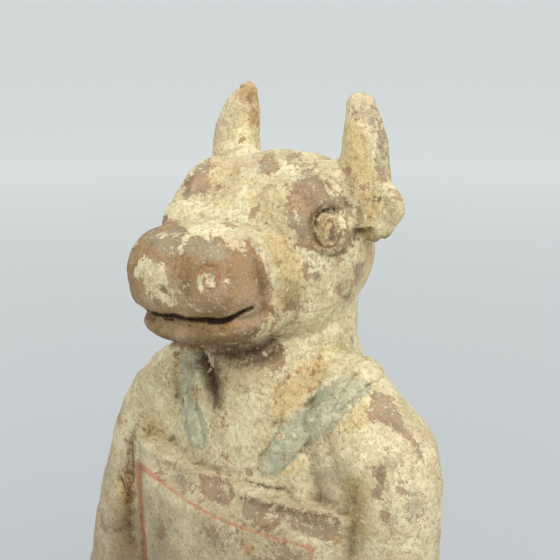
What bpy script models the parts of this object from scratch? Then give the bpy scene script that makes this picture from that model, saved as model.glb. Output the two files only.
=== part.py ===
"""An ox-headed tomb figurine of painted terracotta: an official in a long robe, standing on a low base.

The clay is built up as a potter would: lofted rolls, pressed lumps and cut slabs are fused into one
body and smoothed with a wet thumb. Then the collar, folds, eyes and mouth are worked into its skin.
The figure faces -Y, its left hand is at +X, and it stands on z = 0.
"""

import math

import bpy
import numpy as np
from mathutils import Matrix, Vector
from mathutils.bvhtree import BVHTree

# Driving dimensions, in metres.
FIGURE_HEIGHT = 0.292
BASE_THICKNESS = 0.008
BASE_WIDTH = 0.100
BASE_DEPTH = 0.082
BASE_CORNER = 0.010
BASE_EDGE = 0.002
BASE_CORNER_POINTS = 8

# The figure's proportions are counted in parts, 292 of them from the top of the base to the horn tips.
PARTS_TALL = 292
PART = FIGURE_HEIGHT / PARTS_TALL
SUNK_IN_BASE = 3

# How finely the clay is fused, how often it is smoothed, and how many triangles the solid keeps.
CLAY_GRAIN = 1.0
SMOOTH_PASSES = 4
SOLID_TRIANGLES = 9200
RING_POINTS = 48

TERRACOTTA = (0.66, 0.52, 0.36, 1.0)
TERRACOTTA_ROUGHNESS = 0.9


def at(x, y, z):
    """A place in the figure's own parts, z counted from the top of the base."""
    return Vector((x, y, z)) * PART + Vector((0, 0, BASE_THICKNESS))


def clear_scene():
    for thing in list(bpy.data.objects):
        bpy.data.objects.remove(thing)


def add_object(name, mesh):
    thing = bpy.data.objects.new(name, mesh)
    bpy.context.scene.collection.objects.link(thing)
    return thing


def lump_of_rings(rings):
    """A closed skin over a row of rings that all have the same number of points."""
    count = len(rings[0])
    points = [point for ring in rings for point in ring]
    faces = []
    for lower in range(len(rings) - 1):
        for i in range(count):
            a, b = lower * count + i, lower * count + (i + 1) % count
            faces.append((a, b, b + count, a + count))
    faces.append(tuple(reversed(range(count))))
    faces.append(tuple(range((len(rings) - 1) * count, len(rings) * count)))
    mesh = bpy.data.meshes.new("clay")
    mesh.from_pydata(points, [], faces)
    return add_object("clay", mesh)


def squared(angle, power):
    """The cosine and sine of an angle on a superellipse: power 2 is a circle, and more is squarer."""
    c, s = math.cos(angle), math.sin(angle)
    return (
        math.copysign(abs(c) ** (2 / power), c),
        math.copysign(abs(s) ** (2 / power), s),
    )


def standing_roll(sections, side=1):
    """A roll built upwards from level sections (z, centre x, centre y, half width, half depth, power)."""
    rings = []
    for z, centre_x, centre_y, half_width, half_depth, power in sections:
        ring = []
        for i in range(RING_POINTS):
            c, s = squared(2 * math.pi * i / RING_POINTS, power)
            ring.append(at(side * centre_x + half_width * c, centre_y + half_depth * s, z))
        rings.append(ring)
    return lump_of_rings(rings)


def lying_roll(sections, roll_deg=0.0, pivot_z=0.0):
    """A roll built backwards from upright sections (y, top z, bottom z, half width, power), then tipped."""
    rings = []
    tip = Matrix.Rotation(math.radians(-roll_deg), 3, "Y")
    pivot = Vector((0, 0, pivot_z))
    for y, top, bottom, half_width, power in sections:
        ring = []
        for i in range(RING_POINTS):
            c, s = squared(2 * math.pi * i / RING_POINTS, power)
            point = Vector((half_width * c, y, (top + bottom) / 2 + (top - bottom) / 2 * s))
            ring.append(at(*(tip @ (point - pivot) + pivot)))
        rings.append(ring)
    return lump_of_rings(rings)


def hanging_roll(sections, side=1):
    """A hanging sleeve, built along its way in plan: (x, y, half thickness, top z, bottom z, lean, power).

    Each section stands upright across the way, and its bottom leans out by its lean.
    """
    rings = []
    for i, (x, y, half_thick, top, bottom, lean, power) in enumerate(sections):
        before = sections[max(i - 1, 0)]
        after = sections[min(i + 1, len(sections) - 1)]
        way = Vector((after[0] - before[0], after[1] - before[1])).normalized()
        across = Vector((-way.y, way.x))
        ring = []
        for j in range(RING_POINTS):
            c, s = squared(2 * math.pi * j / RING_POINTS, power)
            z = (top + bottom) / 2 + (top - bottom) / 2 * s
            drop = (top - z) / (top - bottom)
            place_x = x + across.x * half_thick * c + lean * drop
            ring.append(at(side * place_x, y + across.y * half_thick * c, z))
        rings.append(ring)
    return lump_of_rings(rings)


def pressed_ball(centre, radii, turn_deg=(0, 0, 0)):
    """A ball of clay pressed to an ellipsoid."""
    bpy.ops.mesh.primitive_uv_sphere_add(segments=32, ring_count=16, radius=1)
    ball = bpy.context.object
    ball.data.transform(Matrix.Diagonal((*[radius * PART for radius in radii], 1)))
    for axis, degrees in zip("XYZ", turn_deg):
        ball.data.transform(Matrix.Rotation(math.radians(degrees), 4, axis))
    ball.data.transform(Matrix.Translation(at(*centre)))
    return ball


def rolled_coil(stops):
    """A tapered coil of clay along a smooth line. Each stop is (x, y, z, radius)."""
    curve = bpy.data.curves.new("coil", "CURVE")
    curve.dimensions = "3D"
    curve.bevel_depth = 1.0
    curve.bevel_resolution = 5
    curve.resolution_u = 8
    curve.use_fill_caps = True
    spline = curve.splines.new("BEZIER")
    spline.bezier_points.add(len(stops) - 1)
    for point, (x, y, z, radius) in zip(spline.bezier_points, stops):
        point.co = at(x, y, z)
        point.radius = radius * PART
        point.handle_left_type = point.handle_right_type = "AUTO"
    coil = add_object("coil", curve)
    graph = bpy.context.evaluated_depsgraph_get()
    mesh = bpy.data.meshes.new_from_object(coil.evaluated_get(graph))
    bpy.data.objects.remove(coil)
    *place, radius = stops[-1]
    return [add_object("clay", mesh), pressed_ball(place, (radius,) * 3)]


def both_sides(make):
    """The same clay on the figure's left (+1) and right (-1)."""
    made = []
    for side in (1, -1):
        pieces = make(side)
        made += pieces if isinstance(pieces, list) else [pieces]
    return made


# The robe is a column that flares to the hem and narrows to the neck.
ROBE = [
    (-SUNK_IN_BASE, 0, -1, 40, 31, 2.3),
    (3, 0, -1, 41, 32, 2.3),
    (30, 0, -0.5, 38, 29, 2.2),
    (70, 0, 0, 35.5, 26.5, 2.1),
    (110, 0, 0.5, 34, 24.5, 2.0),
    (150, 0, 1, 33.5, 23, 2.1),
    (180, 0, 1.5, 34, 21.5, 2.2),
    (198, 0, 2, 34, 20.5, 2.2),
    (210, 0, 2, 31.5, 20, 2.1),
    (219, 0, 1.5, 26.5, 19, 2.0),
    (226, 0, 1.5, 21, 17.5, 2.0),
    (234, 0, 2.5, 16.8, 16, 2.0),
    (244, 0, 3, 16.2, 16, 2.0),
    (254, 0, 3, 17, 17, 2.0),
]

# The skull from the nose bridge back, and the snout and the jaw from the lips back.
SKULL = [
    (-25, 261, 243, 14.8, 2.3),
    (-20, 265, 240, 16, 2.4),
    (-16, 268.5, 238, 17, 2.5),
    (-10, 273, 236, 18.6, 2.5),
    (-4, 275.6, 234, 20.2, 2.5),
    (3, 276.3, 235, 20.6, 2.3),
    (10, 275, 237, 19, 2.2),
    (16, 271, 239, 16, 2.1),
    (20, 264, 240, 10, 2.0),
    (21.5, 258, 246, 4, 2.0),
]
SNOUT = [
    (-36.8, 255, 247.5, 6, 2.0),
    (-35.2, 259, 245.5, 11.5, 2.1),
    (-32.5, 261.8, 244.5, 15, 2.2),
    (-29, 263.2, 244.3, 17.2, 2.25),
    (-25, 263.6, 244.5, 18.2, 2.3),
    (-21, 263.2, 244.5, 18, 2.3),
    (-17, 262, 245, 16, 2.2),
    (-12, 258, 247, 10, 2.0),
]
JAW = [
    (-32.5, 245, 241, 7, 2.0),
    (-31, 247, 239.3, 11, 2.2),
    (-27, 248, 237.2, 14, 2.4),
    (-22, 248, 236.2, 15.5, 2.4),
    (-16, 248, 236.5, 15.5, 2.2),
    (-10, 248, 237, 14, 2.0),
]
# The whole muzzle sits a little crooked on the head.
SNOUT_ROLL = 7
SNOUT_PIVOT_Z = 250

def tipped(stops):
    """Places on the muzzle, turned with it."""
    tip = Matrix.Rotation(math.radians(-SNOUT_ROLL), 3, "Y")
    pivot = Vector((0, 0, SNOUT_PIVOT_Z))
    return [tuple(tip @ (Vector(stop) - pivot) + pivot) for stop in stops]


# The upper arm from the elbow to the shoulder, as level sections.
ARM = [
    (136, 39, -14, 8, 10, 2.0),
    (142, 40.5, -14, 11, 12.5, 2.0),
    (152, 41.5, -13, 12, 13.2, 2.0),
    (166, 41.8, -10.5, 12.3, 12.6, 2.0),
    (180, 41.5, -8.5, 12.3, 11.8, 2.0),
    (190, 39.8, -6.5, 12.8, 11, 2.0),
    (200, 37, -4.5, 13.4, 10.6, 2.0),
    (208, 34, -3, 13.2, 11.5, 2.0),
    (215, 29.5, -2, 12.8, 12.5, 2.0),
    (220, 25, -1.5, 11, 11.5, 2.0),
    (224, 20, -1, 6, 7, 2.0),
]
# The figure's left arm is pressed in a little at the elbow.
LEFT_ARM_TUCK = 3.4
TUCK_TOP = 206
TUCK_REACH = 40

# The sleeve that hangs from the forearm, from behind the elbow round to the covered hands.
SLEEVE = [
    (40, 0, 5, 150, 132, 0, 2.2),
    (43, -8, 8, 156, 118, 0, 2.6),
    (41.5, -17, 8.5, 163, 108, 0, 2.8),
    (35.5, -24.5, 8, 168, 101, 0, 3.0),
    (27, -29, 7, 171, 97, 0, 3.0),
    (18, -31.5, 6.4, 173, 95, 1, 3.0),
    (10.5, -32.5, 6, 174, 96, 3, 3.0),
    (5, -33, 5.4, 172, 99, 5, 2.6),
    (2, -33, 3.5, 168, 106, 6.5, 2.2),
]

# The chest panel: a curved plate with a raised field inside a wide border that slopes away.
PANEL_FIELD_HALF_WIDTH = 27.3
PANEL_HALF_WIDTH = 33
PANEL_FIELD_TOP = 198
PANEL_TOP = 204.5
PANEL_BOTTOM = 112
PANEL_FRONT = -25.4
PANEL_BOW = 5.4
PANEL_FIELD_RISE = 0.8
PANEL_TOP_SLOPE = 0.85
PANEL_SIDE_SLOPE = 0.15
PANEL_BACK = -4
PANEL_COLUMNS = 45
PANEL_ROWS = 60


def panel_front(x, z):
    """How far forward the panel stands at a place on it."""
    front = PANEL_FRONT + PANEL_BOW * (x / PANEL_FIELD_HALF_WIDTH) ** 2
    beside = max(abs(x) - PANEL_FIELD_HALF_WIDTH, 0)
    above = max(z - PANEL_FIELD_TOP, 0)
    if beside or above:
        front += PANEL_FIELD_RISE
    top_slope = PANEL_TOP_SLOPE * (1 - (x / PANEL_HALF_WIDTH) ** 2)
    return front + beside * PANEL_SIDE_SLOPE + above * top_slope


def chest_panel():
    rings = []
    for row in range(PANEL_ROWS):
        z = PANEL_BOTTOM + (PANEL_TOP - PANEL_BOTTOM) * row / (PANEL_ROWS - 1)
        ring = []
        for column in range(PANEL_COLUMNS):
            x = PANEL_HALF_WIDTH * (2 * column / (PANEL_COLUMNS - 1) - 1)
            ring.append(at(x, panel_front(x, z), z))
        ring += [at(PANEL_HALF_WIDTH, PANEL_BACK, z), at(-PANEL_HALF_WIDTH, PANEL_BACK, z)]
        rings.append(ring)
    return lump_of_rings(rings)


EYE = (19.8, -6.9, 262.2)
EYE_RADII = (2.5, 4.6, 5.0)
EYE_TURN = -33


def brow(side):
    """The heavy brow over an eye."""
    return pressed_ball((side * 11.8, -8, 264.6), (8.8, 9, 9))


def eye_bulge(side):
    """The cheek swells under the eye, so that the eye looks half forwards."""
    return pressed_ball((side * 12.2, -3.5, 262.3), (9.3, 9.3, 10))


def lip_pad(side):
    """The full corner of the upper lip."""
    place = tipped([(side * 12.3, -26, 250)])[0]
    return pressed_ball(place, (5.4, 7, 5.2), (0, SNOUT_ROLL, 0))


def shoulder(side):
    """The sloping shoulder from the neck to the arm."""
    return rolled_coil([(0, 3, 225, 10), (side * 17, 1.5, 219.5, 11), (side * 29, -1.5, 210, 12)])


def horn(side):
    """The figure's left horn has lost its tip, and its right one is whole."""
    stops = [
        (side * 19, 5, 262, 6.8),
        (side * 19.4, 6, 272, 6.1),
        (side * 19.5, 6.5, 280, 5.1),
        (side * 18.2, 7.2, 286, 3.8),
    ]
    if side < 0:
        stops.append((side * 16.9, 7.4, 289.2, 2.2))
    return rolled_coil(stops)


def chipped_tip():
    """The stub that the lost horn tip leaves."""
    return pressed_ball((17.4, 7.2, 287.2), (3.7, 3.4, 2.7), (0, -12, 0))


def ear(side):
    """A small drooping ear with a lobe under it."""
    upper = pressed_ball((side * 23.8, 6.2, 266), (5.6, 3.4, 5.2), (0, side * 15, 0))
    lower = pressed_ball((side * 22, 5.2, 260.5), (4.2, 3.2, 4.6), (0, side * 25, 0))
    lobe = pressed_ball((side * 18.5, 5.5, 254.5), (2.6, 3, 3.4))
    return [upper, lower, lobe]


def eye(side):
    """The bulging oval of an eye."""
    return pressed_ball((side * EYE[0], EYE[1], EYE[2]), EYE_RADII, (0, 0, side * EYE_TURN))


def arm(side):
    sections = []
    for z, x, *rest in ARM:
        tuck = LEFT_ARM_TUCK * min(max(TUCK_TOP - z, 0) / TUCK_REACH, 1) if side > 0 else 0
        sections.append((z, x - tuck, *rest))
    return standing_roll(sections, side)


def sleeve(side):
    return hanging_roll(SLEEVE, side)


def forearm(side):
    """The forearm inside its sleeve, pressed against the chest from the elbow to the hands."""
    return rolled_coil([(side * 38, -9, 158, 10), (side * 27, -17, 160, 10), (side * 6, -25, 162, 9)])


def covered_hand(side):
    """A hand inside its sleeve, joined to the other."""
    return pressed_ball((side * 6, -33.5, 165), (8, 6, 9))


def shoe(side):
    """The tip of a shoe under the hem."""
    return pressed_ball((side * 13, -31, 4), (9, 8.5, 6))


def low_base():
    """The low block that the figure stands on, with rounded corners and a softened edge."""
    rings = []
    for shrink, z in (
        (BASE_EDGE, 0),
        (0, BASE_EDGE),
        (0, BASE_THICKNESS - BASE_EDGE),
        (BASE_EDGE, BASE_THICKNESS),
    ):
        ring = []
        for side_x, side_y, first_quarter in ((1, 1, 0), (-1, 1, 1), (-1, -1, 2), (1, -1, 3)):
            corner_x = side_x * (BASE_WIDTH / 2 - BASE_CORNER)
            corner_y = side_y * (BASE_DEPTH / 2 - BASE_CORNER)
            reach = BASE_CORNER - shrink
            for i in range(BASE_CORNER_POINTS):
                angle = (first_quarter + i / (BASE_CORNER_POINTS - 1)) * math.pi / 2
                point = (corner_x + reach * math.cos(angle), corner_y + reach * math.sin(angle), z)
                ring.append(Vector(point))
        rings.append(ring)
    return lump_of_rings(rings)


def fuse(pieces, name):
    """One body from overlapping lumps: they are joined, fused on a fine grid and smoothed."""
    bpy.ops.object.select_all(action="DESELECT")
    for piece in pieces:
        piece.select_set(True)
    bpy.context.view_layer.objects.active = pieces[0]
    bpy.ops.object.join()
    body = bpy.context.object
    body.name = name
    fusing = body.modifiers.new("Fuse", "REMESH")
    fusing.mode = "VOXEL"
    fusing.voxel_size = CLAY_GRAIN * PART
    smoothing = body.modifiers.new("Smooth", "SMOOTH")
    smoothing.factor = 0.5
    smoothing.iterations = SMOOTH_PASSES
    for modifier in ("Fuse", "Smooth"):
        bpy.ops.object.modifier_apply(modifier=modifier)
    return body


# What the potter pressed into the wet skin or laid on it. A line is a list of places near the surface.
# A groove is (depth, half width) and a band is (rise, half width), in parts.
LAPEL = [
    (11, -20, 210),
    (14.5, -18, 214.5),
    (18.3, -14, 219.5),
    (21, -5, 225.5),
    (20.5, 6, 227),
    (13, 16.5, 226),
    (0, 20, 225),
]
LAPEL_BAND = (0.8, 2.5)
INNER_COLLAR = [
    (7.2, -20, 212.5),
    (10.8, -18, 217.5),
    (14, -14, 223),
    (17, -5, 229),
    (16.5, 6, 231),
    (10, 15.5, 230),
    (0, 18.5, 229.5),
]
INNER_COLLAR_BAND = (0.6, 1.4)
BAND_EDGE = 0.6
BAND_DITCH = 0.35
MOUTH = [
    (-18, -22, 247),
    (-16, -29, 246),
    (-9, -34, 245.2),
    (0, -36, 244.8),
    (9, -34, 244.8),
    (16, -29, 245),
    (18.5, -23, 245.6),
]
MUZZLE_CREASE = [(8, -24, 268), (15, -23, 264), (18.5, -21, 257), (18.5, -20, 249), (16, -21, 242)]
NOSTRILS = [(10.4, -35, 257.5), (-3.2, -36, 253)]
EYE_RING = (5.0, 5.7)
EYE_RING_STOPS = 12
SLEEVE_FOLDS = [
    [(9, -42, 158), (14, -42, 138), (25, -40, 128), (38, -30, 135), (46, -20, 146)],
    [(8, -42, 148), (13, -42, 126), (24, -40, 115), (37, -30, 121), (47, -18, 132)],
    [(9, -42, 136), (14, -42, 114), (24, -40, 105), (35, -32, 110), (46, -18, 120)],
]
ARM_FOLDS = [
    [(35, -24, 180), (41, -27, 177), (48, -24, 179), (54, -12, 186)],
    [(35, -26, 168), (42, -29, 165), (49, -25, 167), (55, -12, 174)],
]
# The skirt's folds fan out to the hem: (share of the spread, y, z) at three heights.
SKIRT_FOLDS = 7
BACK_FOLDS = 5
FOLD_SPREAD = 4.6
SKIRT_FOLD = [(2.1, -36, 8), (1.7, -32, 40), (1.3, -30, 92)]
BACK_FOLD = [(3.0, 34, 8), (2.2, 32, 50), (1.4, 28, 120)]
MUZZLE_GROOVE = (0.9, 1.6)
EYE_GROOVE = (0.9, 0.9)
MOUTH_GROOVE = (1.7, 0.9)
NOSTRIL_GROOVE = (0.9, 1.5)
NOSTRIL_TALL = 1
SLEEVE_GROOVE = (1.5, 1.9)
ARM_GROOVE = (1.1, 1.7)
SKIRT_GROOVE = (1.2, 1.8)
GROOVE_REACH = 3
STEPS_PER_STOP = 12


def smooth_line(stops):
    """Places along a smooth line through the stops."""
    padded = [stops[0]] + list(stops) + [stops[-1]]
    places = []
    for before, start, end, after in zip(padded, padded[1:], padded[2:], padded[3:]):
        before, start, end, after = (Vector(stop) for stop in (before, start, end, after))
        for step in range(STEPS_PER_STOP):
            t = step / STEPS_PER_STOP
            places.append(
                0.5
                * (
                    2 * start
                    + (end - before) * t
                    + (2 * before - 5 * start + 4 * end - after) * t**2
                    + (3 * start - before - 3 * end + after) * t**3
                )
            )
    places.append(Vector(stops[-1]))
    return places


class Skin:
    """The skin of the fused clay, whose points are pressed in or raised along their normals."""

    def __init__(self, body):
        self.mesh = body.data
        self.bvh = BVHTree.FromObject(body, bpy.context.evaluated_depsgraph_get())
        count = len(self.mesh.vertices)
        self.points = np.empty(count * 3)
        self.mesh.vertices.foreach_get("co", self.points)
        self.points = self.points.reshape(-1, 3)
        self.normals = np.empty(count * 3, dtype=np.float32)
        self.mesh.vertex_normals.foreach_get("vector", self.normals)
        self.normals = self.normals.reshape(-1, 3)
        self.rise = np.zeros(count)

    def distances(self, places, reach):
        """The points within reach of a line laid on the skin, and how far from it each is, in parts."""
        laid = np.array([self.bvh.find_nearest(at(*place))[0] for place in places])
        low, high = laid.min(axis=0) - reach * PART, laid.max(axis=0) + reach * PART
        near = np.flatnonzero(((self.points > low) & (self.points < high)).all(axis=1))
        away = np.full(len(near), np.inf)
        for start, end in zip(laid, laid[1:]):
            along = end - start
            t = np.clip((self.points[near] - start) @ along / max(along @ along, 1e-12), 0, 1)
            gap = np.linalg.norm(self.points[near] - start - t[:, None] * along, axis=1)
            away = np.minimum(away, gap / PART)
        return near, away

    def groove(self, stops, depth, half_width):
        near, away = self.distances(smooth_line(stops), half_width * GROOVE_REACH)
        self.rise[near] = np.minimum(self.rise[near], -depth * np.exp(-((away / half_width) ** 2)))

    def band(self, stops, rise, half_width):
        """A raised band with a faint ditch along its edges."""
        near, away = self.distances(smooth_line(stops), half_width + GROOVE_REACH)
        past_edge = (away - half_width) / BAND_EDGE
        flat = np.clip(0.5 - past_edge, 0, 1)
        ditch = BAND_DITCH * np.exp(-((past_edge - 1) ** 2))
        self.rise[near] += rise * (flat - ditch)

    def apply(self):
        moved = self.points + self.normals * (self.rise * PART)[:, None]
        self.mesh.vertices.foreach_set("co", moved.ravel())
        self.mesh.update()


def mirrored(stops, side):
    return [(side * x, y, z) for x, y, z in stops]


def eye_ring(side):
    """The line that is cut round an eye."""
    turn = math.radians(side * EYE_TURN)
    half_length, half_height = EYE_RING
    ring = []
    for i in range(EYE_RING_STOPS + 1):
        angle = 2 * math.pi * i / EYE_RING_STOPS
        along = half_length * math.cos(angle)
        x = side * (EYE[0] + EYE_RADII[0]) - along * math.sin(turn)
        ring.append((x, EYE[1] + along * math.cos(turn), EYE[2] + half_height * math.sin(angle)))
    return ring


def work_the_skin(body):
    skin = Skin(body)
    for side in (1, -1):
        skin.band(mirrored(INNER_COLLAR, side), *INNER_COLLAR_BAND)
        skin.band(mirrored(LAPEL, side), *LAPEL_BAND)
        skin.groove(tipped(mirrored(MUZZLE_CREASE, side)), *MUZZLE_GROOVE)
        skin.groove(eye_ring(side), *EYE_GROOVE)
        for fold in SLEEVE_FOLDS:
            skin.groove(mirrored(fold, side), *SLEEVE_GROOVE)
        for fold in ARM_FOLDS:
            skin.groove(mirrored(fold, side), *ARM_GROOVE)
    for x, y, z in NOSTRILS:
        skin.groove([(x, y, z - NOSTRIL_TALL / 2), (x, y, z + NOSTRIL_TALL / 2)], *NOSTRIL_GROOVE)
    skin.groove(tipped(MOUTH), *MOUTH_GROOVE)
    for count, fold in ((SKIRT_FOLDS, SKIRT_FOLD), (BACK_FOLDS, BACK_FOLD)):
        for i in range(count):
            x = (i - (count - 1) / 2) * FOLD_SPREAD
            skin.groove([(x * fan, y, z) for fan, y, z in fold], *SKIRT_GROOVE)
    skin.apply()


def thin_out(body):
    """Fewer triangles: many where the form turns tightly, few where it runs on."""
    thinning = body.modifiers.new("Thin", "DECIMATE")
    thinning.ratio = SOLID_TRIANGLES / (2 * len(body.data.polygons))
    bpy.ops.object.modifier_apply(modifier="Thin")


def stand_on(body, base):
    """The robe's foot and the base become one piece of clay."""
    joining = body.modifiers.new("Base", "BOOLEAN")
    joining.operation = "UNION"
    joining.solver = "EXACT"
    joining.object = base
    bpy.ops.object.modifier_apply(modifier="Base")
    bpy.data.objects.remove(base)


def fire(body):
    """The fired clay under the slip, as one plain finish."""
    material = bpy.data.materials.new("terracotta")
    material.use_nodes = True
    shader = material.node_tree.nodes["Principled BSDF"]
    shader.inputs["Base Color"].default_value = TERRACOTTA
    shader.inputs["Roughness"].default_value = TERRACOTTA_ROUGHNESS
    body.data.materials.clear()
    body.data.materials.append(material)
    body.data.shade_smooth()


def main():
    clear_scene()
    clay = [standing_roll(ROBE), lying_roll(SKULL), lying_roll(SNOUT, SNOUT_ROLL, SNOUT_PIVOT_Z)]
    clay += [lying_roll(JAW, SNOUT_ROLL, SNOUT_PIVOT_Z), chest_panel(), chipped_tip()]
    head = (brow, eye_bulge, lip_pad, horn, ear, eye)
    for make in (*head, shoulder, arm, forearm, sleeve, covered_hand, shoe):
        clay += both_sides(make)
    body = fuse(clay, "figurine")
    work_the_skin(body)
    thin_out(body)
    stand_on(body, low_base())
    fire(body)


main()
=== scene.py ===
# %% [markdown]
# # An ox-headed official of painted terracotta
# This tomb figurine is one piece of fired clay, about 30 cm tall: an ox's head on the body of an
# official in a long robe, hands hidden in the sleeves, on a low base. A cream slip covers the clay, and
# most of the paint on it has worn to purple, brown and ochre patches.
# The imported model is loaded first. It fixes the size and the place of everything that follows, so the
# clay is only dressed here, and never moved.

import math

import bpy
import numpy as np
from mathutils import Matrix, Vector
from mathutils.bvhtree import BVHTree


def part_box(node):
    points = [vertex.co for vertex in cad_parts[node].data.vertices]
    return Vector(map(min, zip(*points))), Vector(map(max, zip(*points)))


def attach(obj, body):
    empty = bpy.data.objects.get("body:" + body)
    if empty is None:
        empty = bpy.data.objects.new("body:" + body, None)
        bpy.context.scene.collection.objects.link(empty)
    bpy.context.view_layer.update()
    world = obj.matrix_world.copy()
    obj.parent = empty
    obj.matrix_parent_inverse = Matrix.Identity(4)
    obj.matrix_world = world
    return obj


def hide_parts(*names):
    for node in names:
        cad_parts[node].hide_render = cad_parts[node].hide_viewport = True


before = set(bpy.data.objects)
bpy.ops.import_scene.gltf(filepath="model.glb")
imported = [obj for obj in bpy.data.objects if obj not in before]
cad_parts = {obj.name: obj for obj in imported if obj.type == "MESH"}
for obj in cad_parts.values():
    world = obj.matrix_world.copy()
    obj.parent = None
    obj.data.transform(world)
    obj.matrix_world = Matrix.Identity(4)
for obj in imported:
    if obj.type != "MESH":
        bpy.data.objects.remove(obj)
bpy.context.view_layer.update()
figurine_low, figurine_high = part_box("figurine")
print("figurine box", [round(1000 * size, 1) for size in figurine_high - figurine_low], "mm")

# %% [markdown]
# The potter's measure is one part, and the figure is 291 parts tall above its base. A part is a
# millimetre here. Heights are counted from the top of the base, so one function turns a place in parts
# into a place in metres, and every shape below can speak of parts alone.

# %% The measure
PART = 0.001
BASE_THICKNESS = 0.008
BASE_WIDTH, BASE_DEPTH = 0.100, 0.082
BASE_CORNER, BASE_EDGE = 0.010, 0.002
BASE_CORNER_STEPS, BASE_EDGE_STEPS = 8, 2


def at(x, y, z):
    """A place in parts, z counted from the top of the base."""
    return Vector((x, y, z)) * PART + Vector((0, 0, BASE_THICKNESS))


print("horn tips at", round((figurine_high.z - BASE_THICKNESS) / PART, 1), "parts")

# %% [markdown]
# The camera stands where the photographer stood: half to the figure's left, a little above its head and
# close to it. A camera could be aimed with a Track To constraint, but a plain position and turn are
# easier to read back: a pixel of the photograph is then a ray from the lens, and where it meets the
# clay is where that mark is painted. The photograph is 560 pixels square.

# %% The camera
PHOTO_SIDE = 560
PHOTO_FOCAL = 1065
SENSOR = 36
CAMERA_AZIMUTH, CAMERA_ELEVATION = math.radians(42), math.radians(14.7)
CAMERA_DISTANCE = 0.245
CAMERA_TARGET = Vector((0, 0, 0.255))

back = Vector((
    math.sin(CAMERA_AZIMUTH) * math.cos(CAMERA_ELEVATION),
    -math.cos(CAMERA_AZIMUTH) * math.cos(CAMERA_ELEVATION),
    math.sin(CAMERA_ELEVATION),
))
right = Vector((math.cos(CAMERA_AZIMUTH), math.sin(CAMERA_AZIMUTH), 0))
up = back.cross(right)
eye_point = CAMERA_TARGET + back * CAMERA_DISTANCE
bpy.ops.object.camera_add(location=eye_point, rotation=(-back).to_track_quat("-Z", "Y").to_euler())
camera = bpy.context.object
camera.name = "camera"
camera.data.sensor_width = SENSOR
camera.data.lens = PHOTO_FOCAL / PHOTO_SIDE * SENSOR
camera.data.clip_start = 0.01
bpy.context.scene.camera = camera


def ray(pixel_x, pixel_y):
    """The way from the lens through a pixel of the photograph."""
    middle = PHOTO_SIDE / 2
    way = -back * PHOTO_FOCAL + right * (pixel_x - middle) - up * (pixel_y - middle)
    return way.normalized()


print("lens", round(camera.data.lens, 2), "mm at", [round(c, 4) for c in eye_point])

# %% [markdown]
# The figure stands in a plain studio: a pale blue-grey floor that runs on to the horizon, and soft
# light from large panels. Small lamps would cast hard shadows and burn out the slip, and a single sun
# would leave one side black, so three broad area lights and a pale sky share the work.

# %% Floor and light
FLOOR_SIZE = 1200
SKY_GREY = (0.94, 0.97, 0.99, 1)
SKY_STRENGTH = 0.74
LIGHTS = {
    # name: place, aimed at, size, watts, colour
    "softbox": ((0.80, -0.40, 1.0), (0, 0, 0.25), 0.5, 8.4, (1.0, 0.97, 0.92)),
    "fill": ((-0.55, -0.75, 0.75), (0, 0, 0.22), 0.8, 1.1, (1.0, 0.98, 0.95)),
    "overhead": ((-0.15, 0.1, 1.3), (0, 0, 0.25), 0.7, 1.8, (0.98, 0.98, 1.0)),
}

bpy.ops.mesh.primitive_plane_add(size=FLOOR_SIZE)
floor = bpy.context.object
floor.name = "floor"
sky = bpy.data.worlds.new("sky")
sky.use_nodes = True
sky.node_tree.nodes["Background"].inputs["Color"].default_value = SKY_GREY
sky.node_tree.nodes["Background"].inputs["Strength"].default_value = SKY_STRENGTH
bpy.context.scene.world = sky
bpy.context.scene.view_settings.view_transform = "Standard"
for name, (place, aim, size, watts, colour) in LIGHTS.items():
    turn = (Vector(aim) - Vector(place)).to_track_quat("-Z", "Y").to_euler()
    bpy.ops.object.light_add(type="AREA", location=place, rotation=turn)
    light = bpy.context.object
    light.name = name
    light.data.size = size
    light.data.energy = watts
    light.data.color = colour
print("lights:", ", ".join(LIGHTS))

# %% [markdown]
# The clay comes in three kinds of lump. A roll is a closed tube of rings, and each ring is pressed to a
# section of its own. A pressed ball is a sphere squeezed to an ellipsoid. A coil is a roll that follows
# a bent line. A roll could be drawn point by point. Here it is a circle that edit mode extrudes once
# for each section, and its rings are then pressed to place by their number and their angle.

# %% Rolls of clay
RING_POINTS = 48


def squared(angle, power):
    """The cosine and sine of an angle on a superellipse: power 2 is a circle, and more is squarer."""
    c, s = math.cos(angle), math.sin(angle)
    return (math.copysign(abs(c) ** (2 / power), c), math.copysign(abs(s) ** (2 / power), s))


def roll_of(ring_count, place):
    """A closed roll of that many rings, each point put where place(ring, angle) says."""
    bpy.ops.object.select_all(action="DESELECT")
    bpy.ops.mesh.primitive_circle_add(vertices=RING_POINTS, radius=1, fill_type="NGON")
    bpy.ops.object.mode_set(mode="EDIT")
    for _ in range(ring_count - 1):
        bpy.ops.mesh.extrude_region_move(TRANSFORM_OT_translate={"value": (0, 0, 1)})
    bpy.ops.object.mode_set(mode="OBJECT")
    roll = bpy.context.object
    for point in roll.data.vertices:
        point.co = place(round(point.co.z), math.atan2(point.co.y, point.co.x))
    return roll


def standing_roll(sections, side=1):
    """A roll built up from level sections (z, centre x, centre y, half width, half depth, power)."""

    def place(ring, angle):
        z, centre_x, centre_y, half_width, half_depth, power = sections[ring]
        c, s = squared(angle, power)
        return at(side * centre_x + half_width * c, centre_y + half_depth * s, z)

    return roll_of(len(sections), place)


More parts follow.
